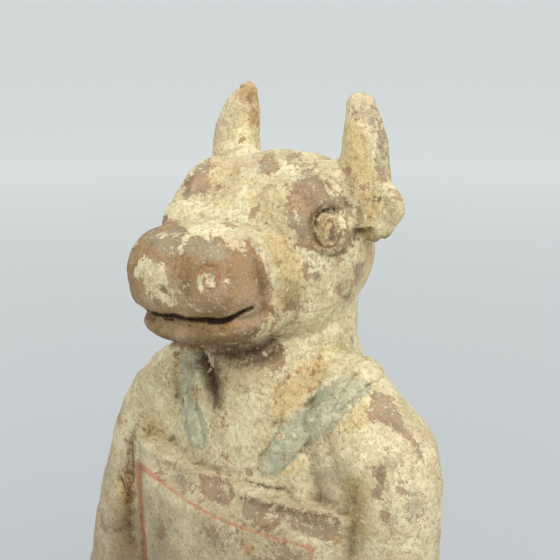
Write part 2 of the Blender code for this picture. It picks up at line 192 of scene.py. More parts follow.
def lying_roll(sections, roll_deg=0.0, pivot_z=0.0):
    """A roll built backwards from upright sections (y, top z, bottom z, half width, power), then tipped."""
    tip = Matrix.Rotation(math.radians(-roll_deg), 3, "Y")
    pivot = Vector((0, 0, pivot_z))

    def place(ring, angle):
        y, top, bottom, half_width, power = sections[ring]
        c, s = squared(angle, power)
        point = Vector((half_width * c, y, (top + bottom) / 2 + (top - bottom) / 2 * s))
        return at(*(tip @ (point - pivot) + pivot))

    return roll_of(len(sections), place)


def pressed_ball(centre, radii, turn_deg=(0, 0, 0)):
    """A ball of clay pressed to an ellipsoid."""
    bpy.ops.object.select_all(action="DESELECT")
    bpy.ops.mesh.primitive_uv_sphere_add(
        segments=RING_POINTS,
        ring_count=RING_POINTS // 2,
        radius=PART,
        scale=radii,
        rotation=[math.radians(degrees) for degrees in turn_deg],
        location=at(*centre),
    )
    bpy.ops.object.transform_apply(location=True, rotation=True, scale=True)
    return bpy.context.object


print("a ring has", RING_POINTS, "points")

# %% [markdown]
# A line that is drawn by hand passes smoothly through a few stops. Coils of clay, grooves, cracks and
# painted bands all follow such lines. A Bezier curve would do it too, but its points would have to be
# read back from a mesh. The Catmull-Rom formula gives them directly.

# %% Lines drawn by hand
STEPS_PER_STOP = 12


def smooth_line(stops):
    """Places along a smooth line through the stops."""
    padded = [stops[0]] + list(stops) + [stops[-1]]
    places = []
    for quad in zip(padded, padded[1:], padded[2:], padded[3:]):
        before, start, end, after = (Vector(stop) for stop in quad)
        for step in range(STEPS_PER_STOP):
            t = step / STEPS_PER_STOP
            bend = (2 * before - 5 * start + 4 * end - after) * t**2
            swing = (3 * start - before - 3 * end + after) * t**3
            places.append(0.5 * (2 * start + (end - before) * t + bend + swing))
    places.append(Vector(stops[-1]))
    return places


def rolled_coil(stops):
    """A tapered coil of clay along a smooth line of stops (x, y, z, radius), with a rounded end."""
    line = smooth_line(stops)

    def place(ring, angle):
        here, ahead = line[ring], line[min(ring + 1, len(line) - 1)]
        behind = line[max(ring - 1, 0)]
        way = Vector(ahead[:3]) - Vector(behind[:3])
        across = way.orthogonal().normalized() if abs(way.z) < 1e-6 else way.cross((0, 1, 0)).normalized()
        over = way.cross(across).normalized()
        spoke = across * math.cos(angle) + over * math.sin(angle)
        return at(*(Vector(here[:3]) + spoke * here[3]))

    *end, radius = stops[-1]
    return [roll_of(len(line), place), pressed_ball(end, (radius,) * 3)]


def both_sides(make):
    """The same clay on the figure's left (+1) and right (-1)."""
    made = []
    for side in (1, -1):
        pieces = make(side)
        made += pieces if isinstance(pieces, list) else [pieces]
    return made


clay = []
print("stops are joined in", STEPS_PER_STOP, "steps each")

# %% [markdown]
# The robe is a column that flares to the hem and narrows to the neck. It could be turned on a wheel,
# but it is deeper at the hem than at the waist and squarer at the shoulders, so it is one standing roll
# whose sections change.

# %% Robe
SUNK_IN_BASE = 3
ROBE = [
    (-SUNK_IN_BASE, 0, -1, 40, 31, 2.3),
    (3, 0, -1, 41, 32, 2.3),
    (30, 0, -0.5, 38, 29, 2.2),
    (70, 0, 0, 35.5, 26.5, 2.1),
    (110, 0, 0.5, 34, 24.5, 2.0),
    (150, 0, 1, 33.5, 23, 2.1),
    (180, 0, 1.5, 34, 21.5, 2.2),
    (198, 0, 2, 34, 20.5, 2.2),
    (210, 0, 2, 31.5, 20, 2.1),
    (219, 0, 1.5, 26.5, 19, 2.0),
    (226, 0, 1.5, 21, 17.5, 2.0),
    (234, 0, 2.5, 16.8, 16, 2.0),
    (244, 0, 3, 16.2, 16, 2.0),
    (254, 0, 3, 17, 17, 2.0),
]
clay.append(standing_roll(ROBE))
print("robe of", len(ROBE), "sections")

# %% [markdown]
# The ox's head is three rolls that lie along the line of its nose: the skull, the snout and the lower
# jaw. The muzzle sits a little crooked on the real head, so the snout and the jaw are tipped by a few
# degrees. A sculpted cube would need far more strokes for the same blunt, heavy shape.

# %% Head
SKULL = [
    (-25, 261, 243, 14.8, 2.3),
    (-20, 265, 240, 16, 2.4),
    (-16, 268.5, 238, 17, 2.5),
    (-10, 273, 236, 18.6, 2.5),
    (-4, 276.2, 234, 20.2, 2.5),
    (3, 276.9, 235, 20.3, 2.3),
    (10, 275.6, 237, 18.4, 2.15),
    (16, 271, 239, 15.2, 2.05),
    (20, 264, 240, 10, 2.0),
    (21.5, 258, 246, 4, 2.0),
]
SNOUT = [
    (-36.8, 255.5, 247.5, 6, 2.0),
    (-35.2, 259.5, 245.5, 11.5, 2.1),
    (-32.5, 262.6, 244.5, 15, 2.25),
    (-29, 264.2, 244.3, 17.3, 2.35),
    (-25, 264.8, 244.5, 18.3, 2.4),
    (-21, 264.6, 244.5, 18.2, 2.4),
    (-17, 263.4, 245, 16.4, 2.3),
    (-12, 259, 247, 10, 2.0),
]
JAW = [
    (-33.6, 246, 241, 8.5, 2.0),
    (-31.8, 247, 239.6, 12.4, 2.2),
    (-27, 248, 238.3, 14.8, 2.4),
    (-22, 248, 237.6, 15.5, 2.4),
    (-16, 248, 237.8, 15.5, 2.2),
    (-10, 248, 238.2, 14, 2.0),
]
SNOUT_ROLL = 7
SNOUT_PIVOT_Z = 250


def tipped(stops):
    """Places on the muzzle, turned with it."""
    tip = Matrix.Rotation(math.radians(-SNOUT_ROLL), 3, "Y")
    pivot = Vector((0, 0, SNOUT_PIVOT_Z))
    return [tuple(tip @ (Vector(stop) - pivot) + pivot) for stop in stops]


clay.append(lying_roll(SKULL))
clay += [lying_roll(roll, SNOUT_ROLL, SNOUT_PIVOT_Z) for roll in (SNOUT, JAW)]
print("head of", len(SKULL) + len(SNOUT) + len(JAW), "sections")

# %% [markdown]
# Brows, cheeks, lips and ears are balls pressed on to the head, and the horns are coils set behind the
# brows. The figure's left horn has lost its tip, as it has on the real piece, and ends in a blunt stub.

# %% Brows, eyes, lips, ears and horns
EYE = (19.8, -6.9, 262.2)
EYE_RADII = (2.5, 4.6, 5.0)
EYE_TURN = -33


def brow(side):
    """The right brow stands a little higher and narrower, and runs down into the muzzle."""
    if side > 0:
        return pressed_ball((11.8, -8, 264.6), (8.8, 9, 9))
    return [
        pressed_ball((-11.7, -7.4, 265.6), (8.6, 8.8, 9.8)),
        pressed_ball((-11.2, -11.5, 262.8), (8.6, 8.4, 8.9)),
        pressed_ball((-10.6, -15.5, 260.2), (8.4, 8.6, 8.1)),
    ]


def crown(side):
    """The skull stays broad up to the foot of each horn."""
    return pressed_ball((side * 13, 3, 271), (6, 7, 4.9))


def eye_bulge(side):
    """The cheek swells under the eye, so that the eye looks half forwards."""
    return pressed_ball((side * 12.2, -3.5, 262.3), (9.3, 9.3, 10))


def eye(side):
    return pressed_ball((side * EYE[0], EYE[1], EYE[2]), EYE_RADII, (0, 0, side * EYE_TURN))


def lip_pad(side):
    """The full corner of the upper lip."""
    place = tipped([(side * 12.3, -26, 250)])[0]
    return pressed_ball(place, (5.4, 7, 5.2), (0, SNOUT_ROLL, 0))


HORN = [(19, 5, 262, 6.7), (19.2, 5.8, 272, 6.0)]
WHOLE_TIP = [(19.2, 6.5, 280, 5.2), (18.0, 7.3, 286, 3.9), (16.7, 7.4, 288.8, 2.1)]
BLUNT_TIP = [(18.9, 6.4, 280, 4.9), (17.6, 6.7, 285.4, 3.6)]
BLUNT_END, BLUNT_END_RADII, BLUNT_END_TURN = (17.0, 6.9, 287.7), (3.3, 3.2, 2.7), (0, 8, 0)


def horn(side):
    """The figure's left horn is broken off short."""
    return rolled_coil([(side * x, *rest) for x, *rest in HORN + (BLUNT_TIP if side > 0 else WHOLE_TIP)])


def ear(side):
    """A small drooping ear with a lobe under it."""
    upper = pressed_ball((side * 24.0, 6.2, 266.7), (5.6, 3.2, 5.3), (0, side * 15, 0))
    lower = pressed_ball((side * 22.2, 5.8, 263.2), (5.4, 2.8, 4.8), (0, side * 30, 0))
    lobe = pressed_ball((side * 17.6, 5.5, 254.5), (2.4, 3, 3.2))
    return [upper, lower, lobe]


for make in (brow, crown, eye_bulge, eye, lip_pad, horn, ear):
    clay += both_sides(make)
clay.append(pressed_ball(BLUNT_END, BLUNT_END_RADII, BLUNT_END_TURN))
print("head clay:", len(clay), "lumps so far")

# %% [markdown]
# The shoulders slope from the neck into the arms, and the forearms meet in front, where wide sleeves
# cover the hands and hang down in folds. A sleeve is a flat roll whose sections stand upright across
# the way that it takes round the body. The figure's left elbow is pressed in a little.

# %% Shoulders, arms and sleeves
ARM = [
    (136, 39, -14, 8, 10, 2.0),
    (142, 40.5, -14, 11, 12.5, 2.0),
    (152, 41.5, -13, 12, 13.2, 2.0),
    (166, 41.8, -10.5, 12.3, 12.6, 2.0),
    (180, 41.5, -8.5, 12.3, 11.8, 2.0),
    (190, 40.2, -6.5, 12.8, 11, 2.0),
    (201, 38, -4.5, 13.4, 10.6, 2.0),
    (209.5, 35, -3, 13.2, 11.5, 2.0),
    (217, 30.5, -2, 12.8, 12.5, 2.0),
    (222.5, 25.5, -1.5, 11, 11.5, 2.0),
    (226.5, 20, -1, 6, 7, 2.0),
]
LEFT_ARM_TUCK, TUCK_TOP, TUCK_REACH = 4.8, 216.5, 18
RIGHT_SHOULDER_LIFT, LEFT_NECK_LIFT = 1.4, 0.9
SLEEVE = [
    (40, 0, 5, 150, 132, 0, 2.2),
    (43, -8, 8, 156, 118, 0, 2.6),
    (41.5, -17, 8.5, 163, 108, 0, 2.8),
    (35.5, -24.5, 8, 168, 101, 0, 3.0),
    (27, -29, 7, 171, 97, 0, 3.0),
    (18, -31.5, 6.4, 173, 95, 1, 3.0),
    (10.5, -32.5, 6, 174, 96, 3, 3.0),
    (5, -33, 5.4, 172, 99, 5, 2.6),
    (2, -33, 3.5, 168, 106, 6.5, 2.2),
]


def shoulder(side):
    """The slope from the neck to the arm. The figure carries its right shoulder a little higher."""
    lift = RIGHT_SHOULDER_LIFT if side < 0 else 0
    neck_z = 221.3 + max(lift, LEFT_NECK_LIFT)
    return rolled_coil([(0, 3, 225, 10), (side * 17, 1.5, neck_z, 11), (side * 30, -1.5, 212 + lift, 12.3)])


def chest_side(side):
    """The chest runs smoothly into the arm, with no crease above the armpit."""
    return rolled_coil([(side * 19, -5.5, 223, 6.5), (side * 24, -6, 216, 8), (side * 28, -6, 208, 8.5)])


def arm(side):
    sections = []
    for z, x, *rest in ARM:
        tuck = LEFT_ARM_TUCK * min(max(TUCK_TOP - z, 0) / TUCK_REACH, 1) if side > 0 else 0
        sections.append((z, x - tuck, *rest))
    return standing_roll(sections, side)


def forearm(side):
    """The forearm inside its sleeve, pressed against the chest."""
    return rolled_coil([(side * 38, -9, 158, 10), (side * 27, -17, 160, 10), (side * 6, -25, 162, 9)])


def sleeve(side):
    """Sections (x, y, half thickness, top z, bottom z, how far the bottom leans out, power)."""

    def place(ring, angle):
        x, y, half_thick, top, bottom, lean, power = SLEEVE[ring]
        behind, ahead = SLEEVE[max(ring - 1, 0)], SLEEVE[min(ring + 1, len(SLEEVE) - 1)]
        way = Vector((ahead[0] - behind[0], ahead[1] - behind[1])).normalized()
        c, s = squared(angle, power)
        z = (top + bottom) / 2 + (top - bottom) / 2 * s
        leaning = lean * (top - z) / (top - bottom)
        place_x = x - way.y * half_thick * c + leaning
        return at(side * place_x, y + way.x * half_thick * c, z)

    return roll_of(len(SLEEVE), place)


def covered_hand(side):
    return pressed_ball((side * 6, -33.5, 165), (8, 6, 9))


def shoe(side):
    """The tip of a shoe under the hem."""
    return pressed_ball((side * 13, -31, 4), (9, 8.5, 6))


for make in (shoulder, chest_side, arm, forearm, sleeve, covered_hand, shoe):
    clay += both_sides(make)
print("with arms and sleeves:", len(clay), "lumps")

# %% [markdown]
# On the chest lies a bowed plate, like a tablet worn as an apron: a raised field with a painted red
# line round it, inside a wide border that slopes away. It is a grid, extruded to a slab. Every point of
# its front is then set back by a formula, which keeps the field's edge crisp. A bevelled box would
# round that edge off.

# %% Chest panel
PANEL_FIELD_HALF_WIDTH, PANEL_HALF_WIDTH = 27.3, 33
PANEL_FIELD_TOP, PANEL_TOP, PANEL_BOTTOM = 198, 204.5, 112
PANEL_FRONT, PANEL_BOW, PANEL_BACK = -25.4, 5.4, -4
PANEL_FIELD_RISE = 0.8
PANEL_TOP_SLOPE, PANEL_SIDE_SLOPE = 0.85, 0.15
PANEL_CELLS = 120


def panel_front(x, z):
    """How far forward the panel stands at a place on it."""
    front = PANEL_FRONT + PANEL_BOW * (x / PANEL_FIELD_HALF_WIDTH) ** 2
    beside = max(abs(x) - PANEL_FIELD_HALF_WIDTH, 0)
    above = max(z - PANEL_FIELD_TOP, 0)
    if beside or above:
        front += PANEL_FIELD_RISE
    top_slope = PANEL_TOP_SLOPE * (1 - (x / PANEL_HALF_WIDTH) ** 2)
    return front + beside * PANEL_SIDE_SLOPE + above * top_slope


bpy.ops.object.select_all(action="DESELECT")
bpy.ops.mesh.primitive_grid_add(x_subdivisions=PANEL_CELLS, y_subdivisions=PANEL_CELLS, size=2)
panel = bpy.context.object
bpy.ops.object.mode_set(mode="EDIT")
bpy.ops.mesh.extrude_region_move(TRANSFORM_OT_translate={"value": (0, 0, -1)})
bpy.ops.object.mode_set(mode="OBJECT")
for point in panel.data.vertices:
    x = PANEL_HALF_WIDTH * point.co.x
    z = PANEL_BOTTOM + (PANEL_TOP - PANEL_BOTTOM) * (point.co.y + 1) / 2
    point.co = at(x, panel_front(x, z) if point.co.z > -0.5 else PANEL_BACK, z)
clay.append(panel)
print("panel", 2 * PANEL_HALF_WIDTH, "by", PANEL_TOP - PANEL_BOTTOM, "parts")

# %% [markdown]
# The low base is a slab with rounded corners and a softened edge: a cube whose four upright edges are
# bevelled widely, and its rims narrowly.

# %% Base
bpy.ops.object.select_all(action="DESELECT")
bpy.ops.mesh.primitive_cube_add(
    size=1, scale=(BASE_WIDTH, BASE_DEPTH, BASE_THICKNESS), location=(0, 0, BASE_THICKNESS / 2)
)
bpy.ops.object.transform_apply(location=True, rotation=True, scale=True)
base = bpy.context.object


def select_edges(thing, wanted):
    """Selects the edges that wanted(start, end) picks, ready for edit mode."""
    bpy.ops.object.mode_set(mode="EDIT")
    bpy.ops.mesh.select_all(action="DESELECT")
    bpy.ops.mesh.select_mode(type="EDGE")
    bpy.ops.object.mode_set(mode="OBJECT")
    for edge in thing.data.edges:
        start, end = (thing.data.vertices[i].co for i in edge.vertices)
        edge.select = wanted(start, end)
    bpy.ops.object.mode_set(mode="EDIT")


select_edges(base, lambda start, end: abs(start.z - end.z) > BASE_THICKNESS / 2)
bpy.ops.mesh.bevel(offset=BASE_CORNER, segments=BASE_CORNER_STEPS)
bpy.ops.object.mode_set(mode="OBJECT")
select_edges(base, lambda start, end: abs(start.z - end.z) < BASE_THICKNESS / 2)
bpy.ops.mesh.bevel(offset=BASE_EDGE, segments=BASE_EDGE_STEPS, clamp_overlap=True)
bpy.ops.object.mode_set(mode="OBJECT")
clay.append(base)
print("base", round(base.dimensions.x, 4), "by", round(base.dimensions.y, 4), "m")

# %% [markdown]
# The potter joins the lumps by smearing clay across the seams. Joining the meshes and remeshing them
# on a fine grid of voxels does the same: the inner walls go, and the skin is closed all round. A few
# passes of smoothing stand for the wet thumb. Boolean unions would leave sharp creases at every seam.

# %% Fuse the clay
CLAY_GRAIN = 0.62
SMOOTH_PASSES = 9

bpy.ops.object.select_all(action="DESELECT")
for lump in clay:
    lump.select_set(True)
bpy.context.view_layer.objects.active = clay[0]
bpy.ops.object.join()
body = bpy.context.object
body.name = "painted_figurine"
fusing = body.modifiers.new("Fuse", "REMESH")
fusing.mode = "VOXEL"
fusing.voxel_size = CLAY_GRAIN * PART
smoothing = body.modifiers.new("Smooth", "SMOOTH")
smoothing.factor = 0.5
smoothing.iterations = SMOOTH_PASSES
for modifier in ("Fuse", "Smooth"):
    bpy.ops.object.modifier_apply(modifier=modifier)
print("fused clay:", len(body.data.polygons), "faces")

# %% [markdown]
# Marks are placed by pixels of the photograph. A ray through the pixel finds its place on the clay, so a
# mark lies on the surface from every side, and what the camera sees is where the photograph has it.
# The mesh is read into arrays once, because moving so many points one by one is slow.

# %% Marks on the clay
MARK_STEPS = 6
LINE_EASING = 4
MOUTH_INSIDE = (1, -14, 246.5)
MUZZLE_DISTANCE = 0.215


def fall(away, half_width):
    """1 on a line, and softly down to nothing beside it."""
    return np.exp(-((away / half_width) ** 2))


class Skin:
    """The skin of the clay: its points and normals, and how far each point is raised, in parts."""

    def __init__(self, thing):
        self.mesh = thing.data
        self.bvh = BVHTree.FromObject(thing, bpy.context.evaluated_depsgraph_get())
        self.points = np.empty((len(self.mesh.vertices), 3))
        self.mesh.vertices.foreach_get("co", self.points.ravel())
        self.normals = np.empty((len(self.mesh.vertices), 3), dtype=np.float32)
        self.mesh.vertex_normals.foreach_get("vector", self.normals.ravel())
        self.rise = np.zeros(len(self.points))
        self.cut = np.zeros(len(self.points))

    def spot(self, pixel_x, pixel_y):
        """The place on the clay under a pixel, or None where the pixel misses it."""
        return self.bvh.ray_cast(eye_point, ray(pixel_x, pixel_y))[0]

    def line_from_photo(self, pixels):
        """A smooth line over the clay through pixels of the photograph."""
        places = []
        for start, end in zip(pixels, pixels[1:]):
            for step in range(MARK_STEPS):
                share = step / MARK_STEPS
                places.append(self.spot(*[a + (b - a) * share for a, b in zip(start, end)]))
        places.append(self.spot(*pixels[-1]))
        line = np.array([place for place in places if place])
        for _ in range(LINE_EASING):
            line[1:-1] = (line[:-2] + 2 * line[1:-1] + line[2:]) / 4
        return line

    def line_laid(self, stops):
        """A smooth line through stops in parts, laid on the clay."""
        return np.array([self.bvh.find_nearest(at(*place))[0] for place in smooth_line(stops)])

    def away_from(self, line, reach):
        """The points within reach of a line, in parts, how far off they are and how far along."""
        low, high = line.min(axis=0) - reach * PART, line.max(axis=0) + reach * PART
        near = np.flatnonzero(((self.points > low) & (self.points < high)).all(axis=1))
        away, along = np.full(len(near), np.inf), np.zeros(len(near))
        for i, (start, end) in enumerate(zip(line, line[1:])):
            step = end - start
            t = np.clip((self.points[near] - start) @ step / max(step @ step, 1e-12), 0, 1)
            gap = np.linalg.norm(self.points[near] - start - t[:, None] * step, axis=1) / PART
            closer = gap < away
            away[closer] = gap[closer]
            along[closer] = (i + t[closer]) / (len(line) - 1)
        return near, away, along

    def groove(self, line, depth, half_width, taper=0.0, fade=0.0):
        """A groove pressed along a line. It tapers towards both ends, or fades towards its last one."""
        near, away, along = self.away_from(line, 3 * half_width)
        ends = (1 - taper * (2 * along - 1) ** 2) * (1 - fade * along**2)
        self.rise[near] = np.minimum(self.rise[near], -depth * ends * fall(away, half_width))

    def slit(self, line, depth, half_width, taper=0.0):
        """A cut straight into the head, whichever way the lips lean."""
        near, away, along = self.away_from(line, 3 * half_width)
        ends = 1 - taper * (2 * along - 1) ** 2
        self.cut[near] = np.maximum(self.cut[near], depth * ends * fall(away, half_width))

    def ridge(self, line, rise, half_width):
        """A soft ridge raised along a line."""
        near, away, _ = self.away_from(line, 3 * half_width)
        self.rise[near] += rise * fall(away, half_width)

    def band(self, line, rise, half_width, edge=0.5, ditch=0.3):
        """A flat band laid along a line, with a faint ditch beside it."""
        near, away, _ = self.away_from(line, half_width + 4 * edge)
        past_edge = (away - half_width) / edge
        flat = np.clip(0.5 - past_edge, 0, 1)
        self.rise[near] += rise * (flat - ditch * fall(past_edge - 1, 1))

    def apply(self):
        inwards = np.array(at(*MOUTH_INSIDE)) - self.points
        inwards /= np.linalg.norm(inwards, axis=1)[:, None]
        moved = self.points + self.normals * (self.rise * PART)[:, None]
        moved += inwards * (self.cut * PART)[:, None]
        self.mesh.vertices.foreach_set("co", moved.ravel())
        self.mesh.update()


def ring_pixels(centre, radii, first_deg=0, last_deg=360, count=17, turn_deg=0):
    """Pixels along an oval or an arc of it. Angles run clockwise from the right, as the eye sees them."""
    pixels = []
    turn = math.radians(turn_deg)
    for i in range(count):
        angle = math.radians(first_deg + (last_deg - first_deg) * i / (count - 1))
        x, y = radii[0] * math.cos(angle), radii[1] * math.sin(angle)
        across = x * math.cos(turn) - y * math.sin(turn)
        down = x * math.sin(turn) + y * math.cos(turn)
        pixels.append((centre[0] + across, centre[1] + down))
    return pixels


print("a pixel at the muzzle is", round(1000 * MUZZLE_DISTANCE / PHOTO_FOCAL, 3), "mm wide")

# %% [markdown]
# The mouth is a slit a millimetre wide, and the eye's ring and the crack are finer still. The voxels are
# too coarse for them, so the faces near those lines are subdivided first. A finer grid all over would
# cost four times the points where nothing needs them.

# %% Where the fine work goes
MOUTH_SLIT = [
    (152, 313.5), (162, 315), (174, 315.5), (182, 318), (195, 320), (208, 321), (218, 322.5),
    (226, 321), (233, 317), (241, 312.5), (247, 310), (252, 308),
]
FAR_MOUTH = [(1, -36.5, 245), (-8, -35, 245), (-15, -29, 246), (-18, -22, 247)]
LEFT_EYE = ((328.5, 231), (14.5, 19.5))
EYE_SHADE = [(311, 234), (313, 221), (320, 212), (330, 208.5), (338, 210), (345, 217)]
LOWER_LID = [(314, 246), (322, 251.5), (332, 253), (345, 248.5)]
PUPIL = ((334, 231), (7.5, 12.5))
LEFT_NOSTRIL = ((210, 275), (9.5, 8.5))
RIGHT_NOSTRIL = [(161.5, 289), (163.5, 292)]
NOSTRIL_CRACK = [(155, 286.5), (163, 290), (171, 296)]
PANEL_CRACK = [
    (236, 479), (246, 481), (253, 482.5), (258, 486), (264, 489), (270, 487), (278, 489), (285, 490),
    (289, 494), (294, 500),
]
CHEST_NICK = [(240, 386), (244, 388), (247, 390.5)]
ELBOW_CREASE = [(118, 474), (121, 485), (127, 500)]
FINE_REACH = 2.6

skin = Skin(body)
fine_lines = [
    skin.line_from_photo(pixels)
    for pixels in (
        MOUTH_SLIT, ring_pixels(*LEFT_EYE), EYE_SHADE, ring_pixels(*LEFT_NOSTRIL), RIGHT_NOSTRIL,
        NOSTRIL_CRACK, PANEL_CRACK, CHEST_NICK, ring_pixels(*PUPIL), LOWER_LID,
    )
]
fine_lines.append(skin.line_laid(tipped(FAR_MOUTH)))
wanted = np.zeros(len(skin.points), dtype=bool)
for line in fine_lines:
    near, away, _ = skin.away_from(line, FINE_REACH)
    wanted[near[away < FINE_REACH]] = True
bpy.ops.object.mode_set(mode="EDIT")
bpy.ops.mesh.select_mode(type="VERT")
bpy.ops.mesh.select_all(action="DESELECT")
bpy.ops.object.mode_set(mode="OBJECT")
body.data.vertices.foreach_set("select", wanted)
bpy.ops.object.mode_set(mode="EDIT")
bpy.ops.mesh.subdivide(number_cuts=1)
bpy.ops.object.mode_set(mode="OBJECT")
print("points after refining:", len(body.data.vertices))

# %% [markdown]
# Hand-pressed clay is never even. Three displacements along the normal, each driven by a cloud texture,
# give it slow lumps from the fingers, a crusty unevenness from the burial and a grain finer still. A
# bump in the material would leave the outline as smooth as plastic.

# %% Unevenness
UNEVENNESS = {
    # name: size of the lumps and their height, in parts
    "finger_lumps": (9.0, 0.9),
    "slip_crust": (2.2, 0.28),
    "crust_grain": (0.9, 0.16),
}
for name, (size, height) in UNEVENNESS.items():
    clouds = bpy.data.textures.new(name, "CLOUDS")
    clouds.noise_scale = size * PART
    clouds.noise_depth = 2
    lumps = body.modifiers.new(name, "DISPLACE")
    lumps.texture = clouds
    lumps.texture_coords = "LOCAL"
    lumps.strength = height * PART
    lumps.mid_level = 0.5
    bpy.ops.object.modifier_apply(modifier=name)
print("unevenness:", ", ".join(f"{name} {height} mm" for name, (_, height) in UNEVENNESS.items()))

# %% [markdown]
# Now the skin is worked as the potter worked it: the mouth is cut, rings are pressed round the eyes, the
# nostrils are poked, lapels are laid on, and folds are drawn with a finger. All of it is summed as a
# rise or a dip along the normal, and applied at once. Side by side, the pixels speak for what the
# photograph shows, and the places in parts for its far side and back, which are plainer.

# %% Work the skin
NOSTRIL_PIT = [(208, 278), (211, 279)]
RIGHT_LAPEL = [(189.5, 346), (187, 365), (187, 381), (190.5, 412), (197, 435), (197, 447)]
LEFT_LAPEL = [(359, 376), (345, 388), (333, 399), (317, 415), (300, 431), (284, 448), (268, 467)]
LAPEL_RISE, LAPEL_HALF_WIDTH = 0.55, 2.4
INNER_STRIP = [(203, 349), (209, 358), (215, 367), (222, 378)]
LAPEL_RECESS = [(198, 352), (202, 363), (206, 375), (211, 388)]
LAPEL_OUTER_DIP = [(179, 352), (176, 370), (175, 388), (173, 404)]
COLLAR_NOTCH = [(270, 424), (279, 422.5), (288, 420)]
COLLAR_EDGE = [(288, 420), (300, 409), (320, 392), (345, 373)]
MUZZLE_EDGE = [(247, 246), (255, 257), (261, 272), (263, 289), (261, 303)]
EAR_CREASE = [(377, 192), (374, 204), (370, 220), (368, 236)]
EAR_FOOT = [(370, 245), (377, 243), (385, 240), (391, 235)]
EAR_HOLLOW = [(381, 200), (388, 207), (389, 216), (384, 226), (377, 232)]
ARM_EDGE = [(129, 436), (131, 452), (131.5, 475), (132, 498)]
FAR_LAPEL = [(-21, -5, 225.5), (-20.5, 6, 227), (-13, 16.5, 226), (0, 20, 225)]
BACK_LAPEL = [(22.5, 0, 226), (20.5, 6, 227), (13, 16.5, 226), (0, 20, 225)]
MUZZLE_CREASE = [(8, -24, 268), (15, -23, 264), (18.5, -21, 257), (18.5, -20, 249), (16, -21, 242)]
SLEEVE_FOLDS = [
    [(9, -42, 158), (14, -42, 138), (25, -40, 128), (38, -30, 135), (46, -20, 146)],
    [(8, -42, 148), (13, -42, 126), (24, -40, 115), (37, -30, 121), (47, -18, 132)],
    [(9, -42, 136), (14, -42, 114), (24, -40, 105), (35, -32, 110), (46, -18, 120)],
]
ARM_FOLDS = [
    [(35, -24, 180), (41, -27, 177), (48, -24, 179), (54, -12, 186)],
    [(35, -26, 168), (42, -29, 165), (49, -25, 167), (55, -12, 174)],
]
SKIRT_FOLDS, BACK_FOLDS, FOLD_SPREAD = 7, 6, 4.6
FOLD_DEPTHS, FOLD_HALF_WIDTH = (1.5, 1.0, 1.7, 1.2), 1.9
SKIRT_FOLD =[(2.1, -36, 5), (1.7, -32, 40), (1.3, -30, 92)]
BACK_FOLD = [(3.2, 34, 5), (2.4, 32, 50), (1.5, 28, 110), (1.1, 26, 160)]
EYE_RING, EYE_RING_STOPS = (5.0, 5.7), 12
RIM_SHARES = (-0.98, -0.7, -0.35, 0, 0.35, 0.7, 0.98)
RIM_ABOVE_TOP = 1
RIM_RIDGE_FORWARD, RIM_RIDGE_BELOW = 0.5, 2.6


def mirrored(stops, side=-1):
    return [(side * x, y, z) for x, y, z in stops]


def far_eye_ring():
    """The ring round the figure's right eye, laid out from the eye's own numbers."""
    turn = math.radians(-EYE_TURN)
    ring = []
    for i in range(EYE_RING_STOPS + 1):
        angle = 2 * math.pi * i / EYE_RING_STOPS
        along = EYE_RING[0] * math.cos(angle)
        x = -(EYE[0] + EYE_RADII[0]) - along * math.sin(turn)
        ring.append((x, EYE[1] + along * math.cos(turn), EYE[2] + EYE_RING[1] * math.sin(angle)))
    return ring


skin = Skin(body)
photo, laid = skin.line_from_photo, skin.line_laid
slit, groove, ridge, band = skin.slit, skin.groove, skin.ridge, skin.band
MARKS = [
    # tool, line, depth or rise, half width, and the taper of a groove or the edge of a band
    (slit, photo(MOUTH_SLIT), 2.6, 0.55, 0.45),
    (slit, laid(tipped(FAR_MOUTH)), 2.0, 0.7),
    (groove, photo(ring_pixels(*LEFT_EYE)), 0.75, 0.5),
    (groove, photo(EYE_SHADE), 1.5, 0.85, 0.6),
    (ridge, photo(LOWER_LID), 0.35, 0.6),
    (groove, photo(ring_pixels(*PUPIL)), 0.12, 0.3),
    (groove, laid(far_eye_ring()), 0.9, 0.8),
    (ridge, photo(ring_pixels(*LEFT_NOSTRIL)), 0.55, 0.75),
    (groove, photo(NOSTRIL_PIT), 1.1, 0.8),
    (groove, photo(RIGHT_NOSTRIL), 1.7, 0.62),
    (groove, photo(NOSTRIL_CRACK), 0.55, 0.32, 0.7),
    (groove, photo(MUZZLE_EDGE), 0.55, 0.9, 0.7),
    (groove, laid(tipped(mirrored(MUZZLE_CREASE))), 0.9, 1.6),
    (groove, photo(EAR_CREASE), 0.6, 0.9, 0.6),
    (band, photo(RIGHT_LAPEL), LAPEL_RISE, LAPEL_HALF_WIDTH),
    (band, photo(LEFT_LAPEL), LAPEL_RISE, LAPEL_HALF_WIDTH),
    (band, laid(FAR_LAPEL), LAPEL_RISE, LAPEL_HALF_WIDTH),
    (band, laid(BACK_LAPEL), LAPEL_RISE, LAPEL_HALF_WIDTH),
    (band, photo(INNER_STRIP), 0.6, 0.7, 0.4),
    (groove, photo(LAPEL_RECESS), 2.6, 1.9, 0.3),
    (groove, photo(EAR_FOOT), 0.9, 0.8, 0.7),
    (groove, photo(EAR_HOLLOW), 0.6, 1.5, 0.6),
    (groove, photo(LAPEL_OUTER_DIP), 0.5, 0.8, 0.7),
    (groove, photo(COLLAR_NOTCH), 0.9, 0.9, 0.7),
    (groove, photo(COLLAR_EDGE), 0.4, 0.7, 0.8),
    (groove, photo(PANEL_CRACK), 0.55, 0.26, 0.4),
    (groove, photo(CHEST_NICK), 0.4, 0.28, 0.4),
    (groove, photo(ELBOW_CREASE), 1.3, 0.9, 0.7),
    (groove, photo(ARM_EDGE), 1.0, 0.8, 0.4),
]
for tool, line, *numbers in MARKS:
    tool(line, *numbers)
for side in (1, -1):
    for folds, depth, half_width in ((SLEEVE_FOLDS, 1.7, 1.8), (ARM_FOLDS, 1.2, 1.6)):
        for fold in folds:
            groove(laid(mirrored(fold, side)), depth, half_width)
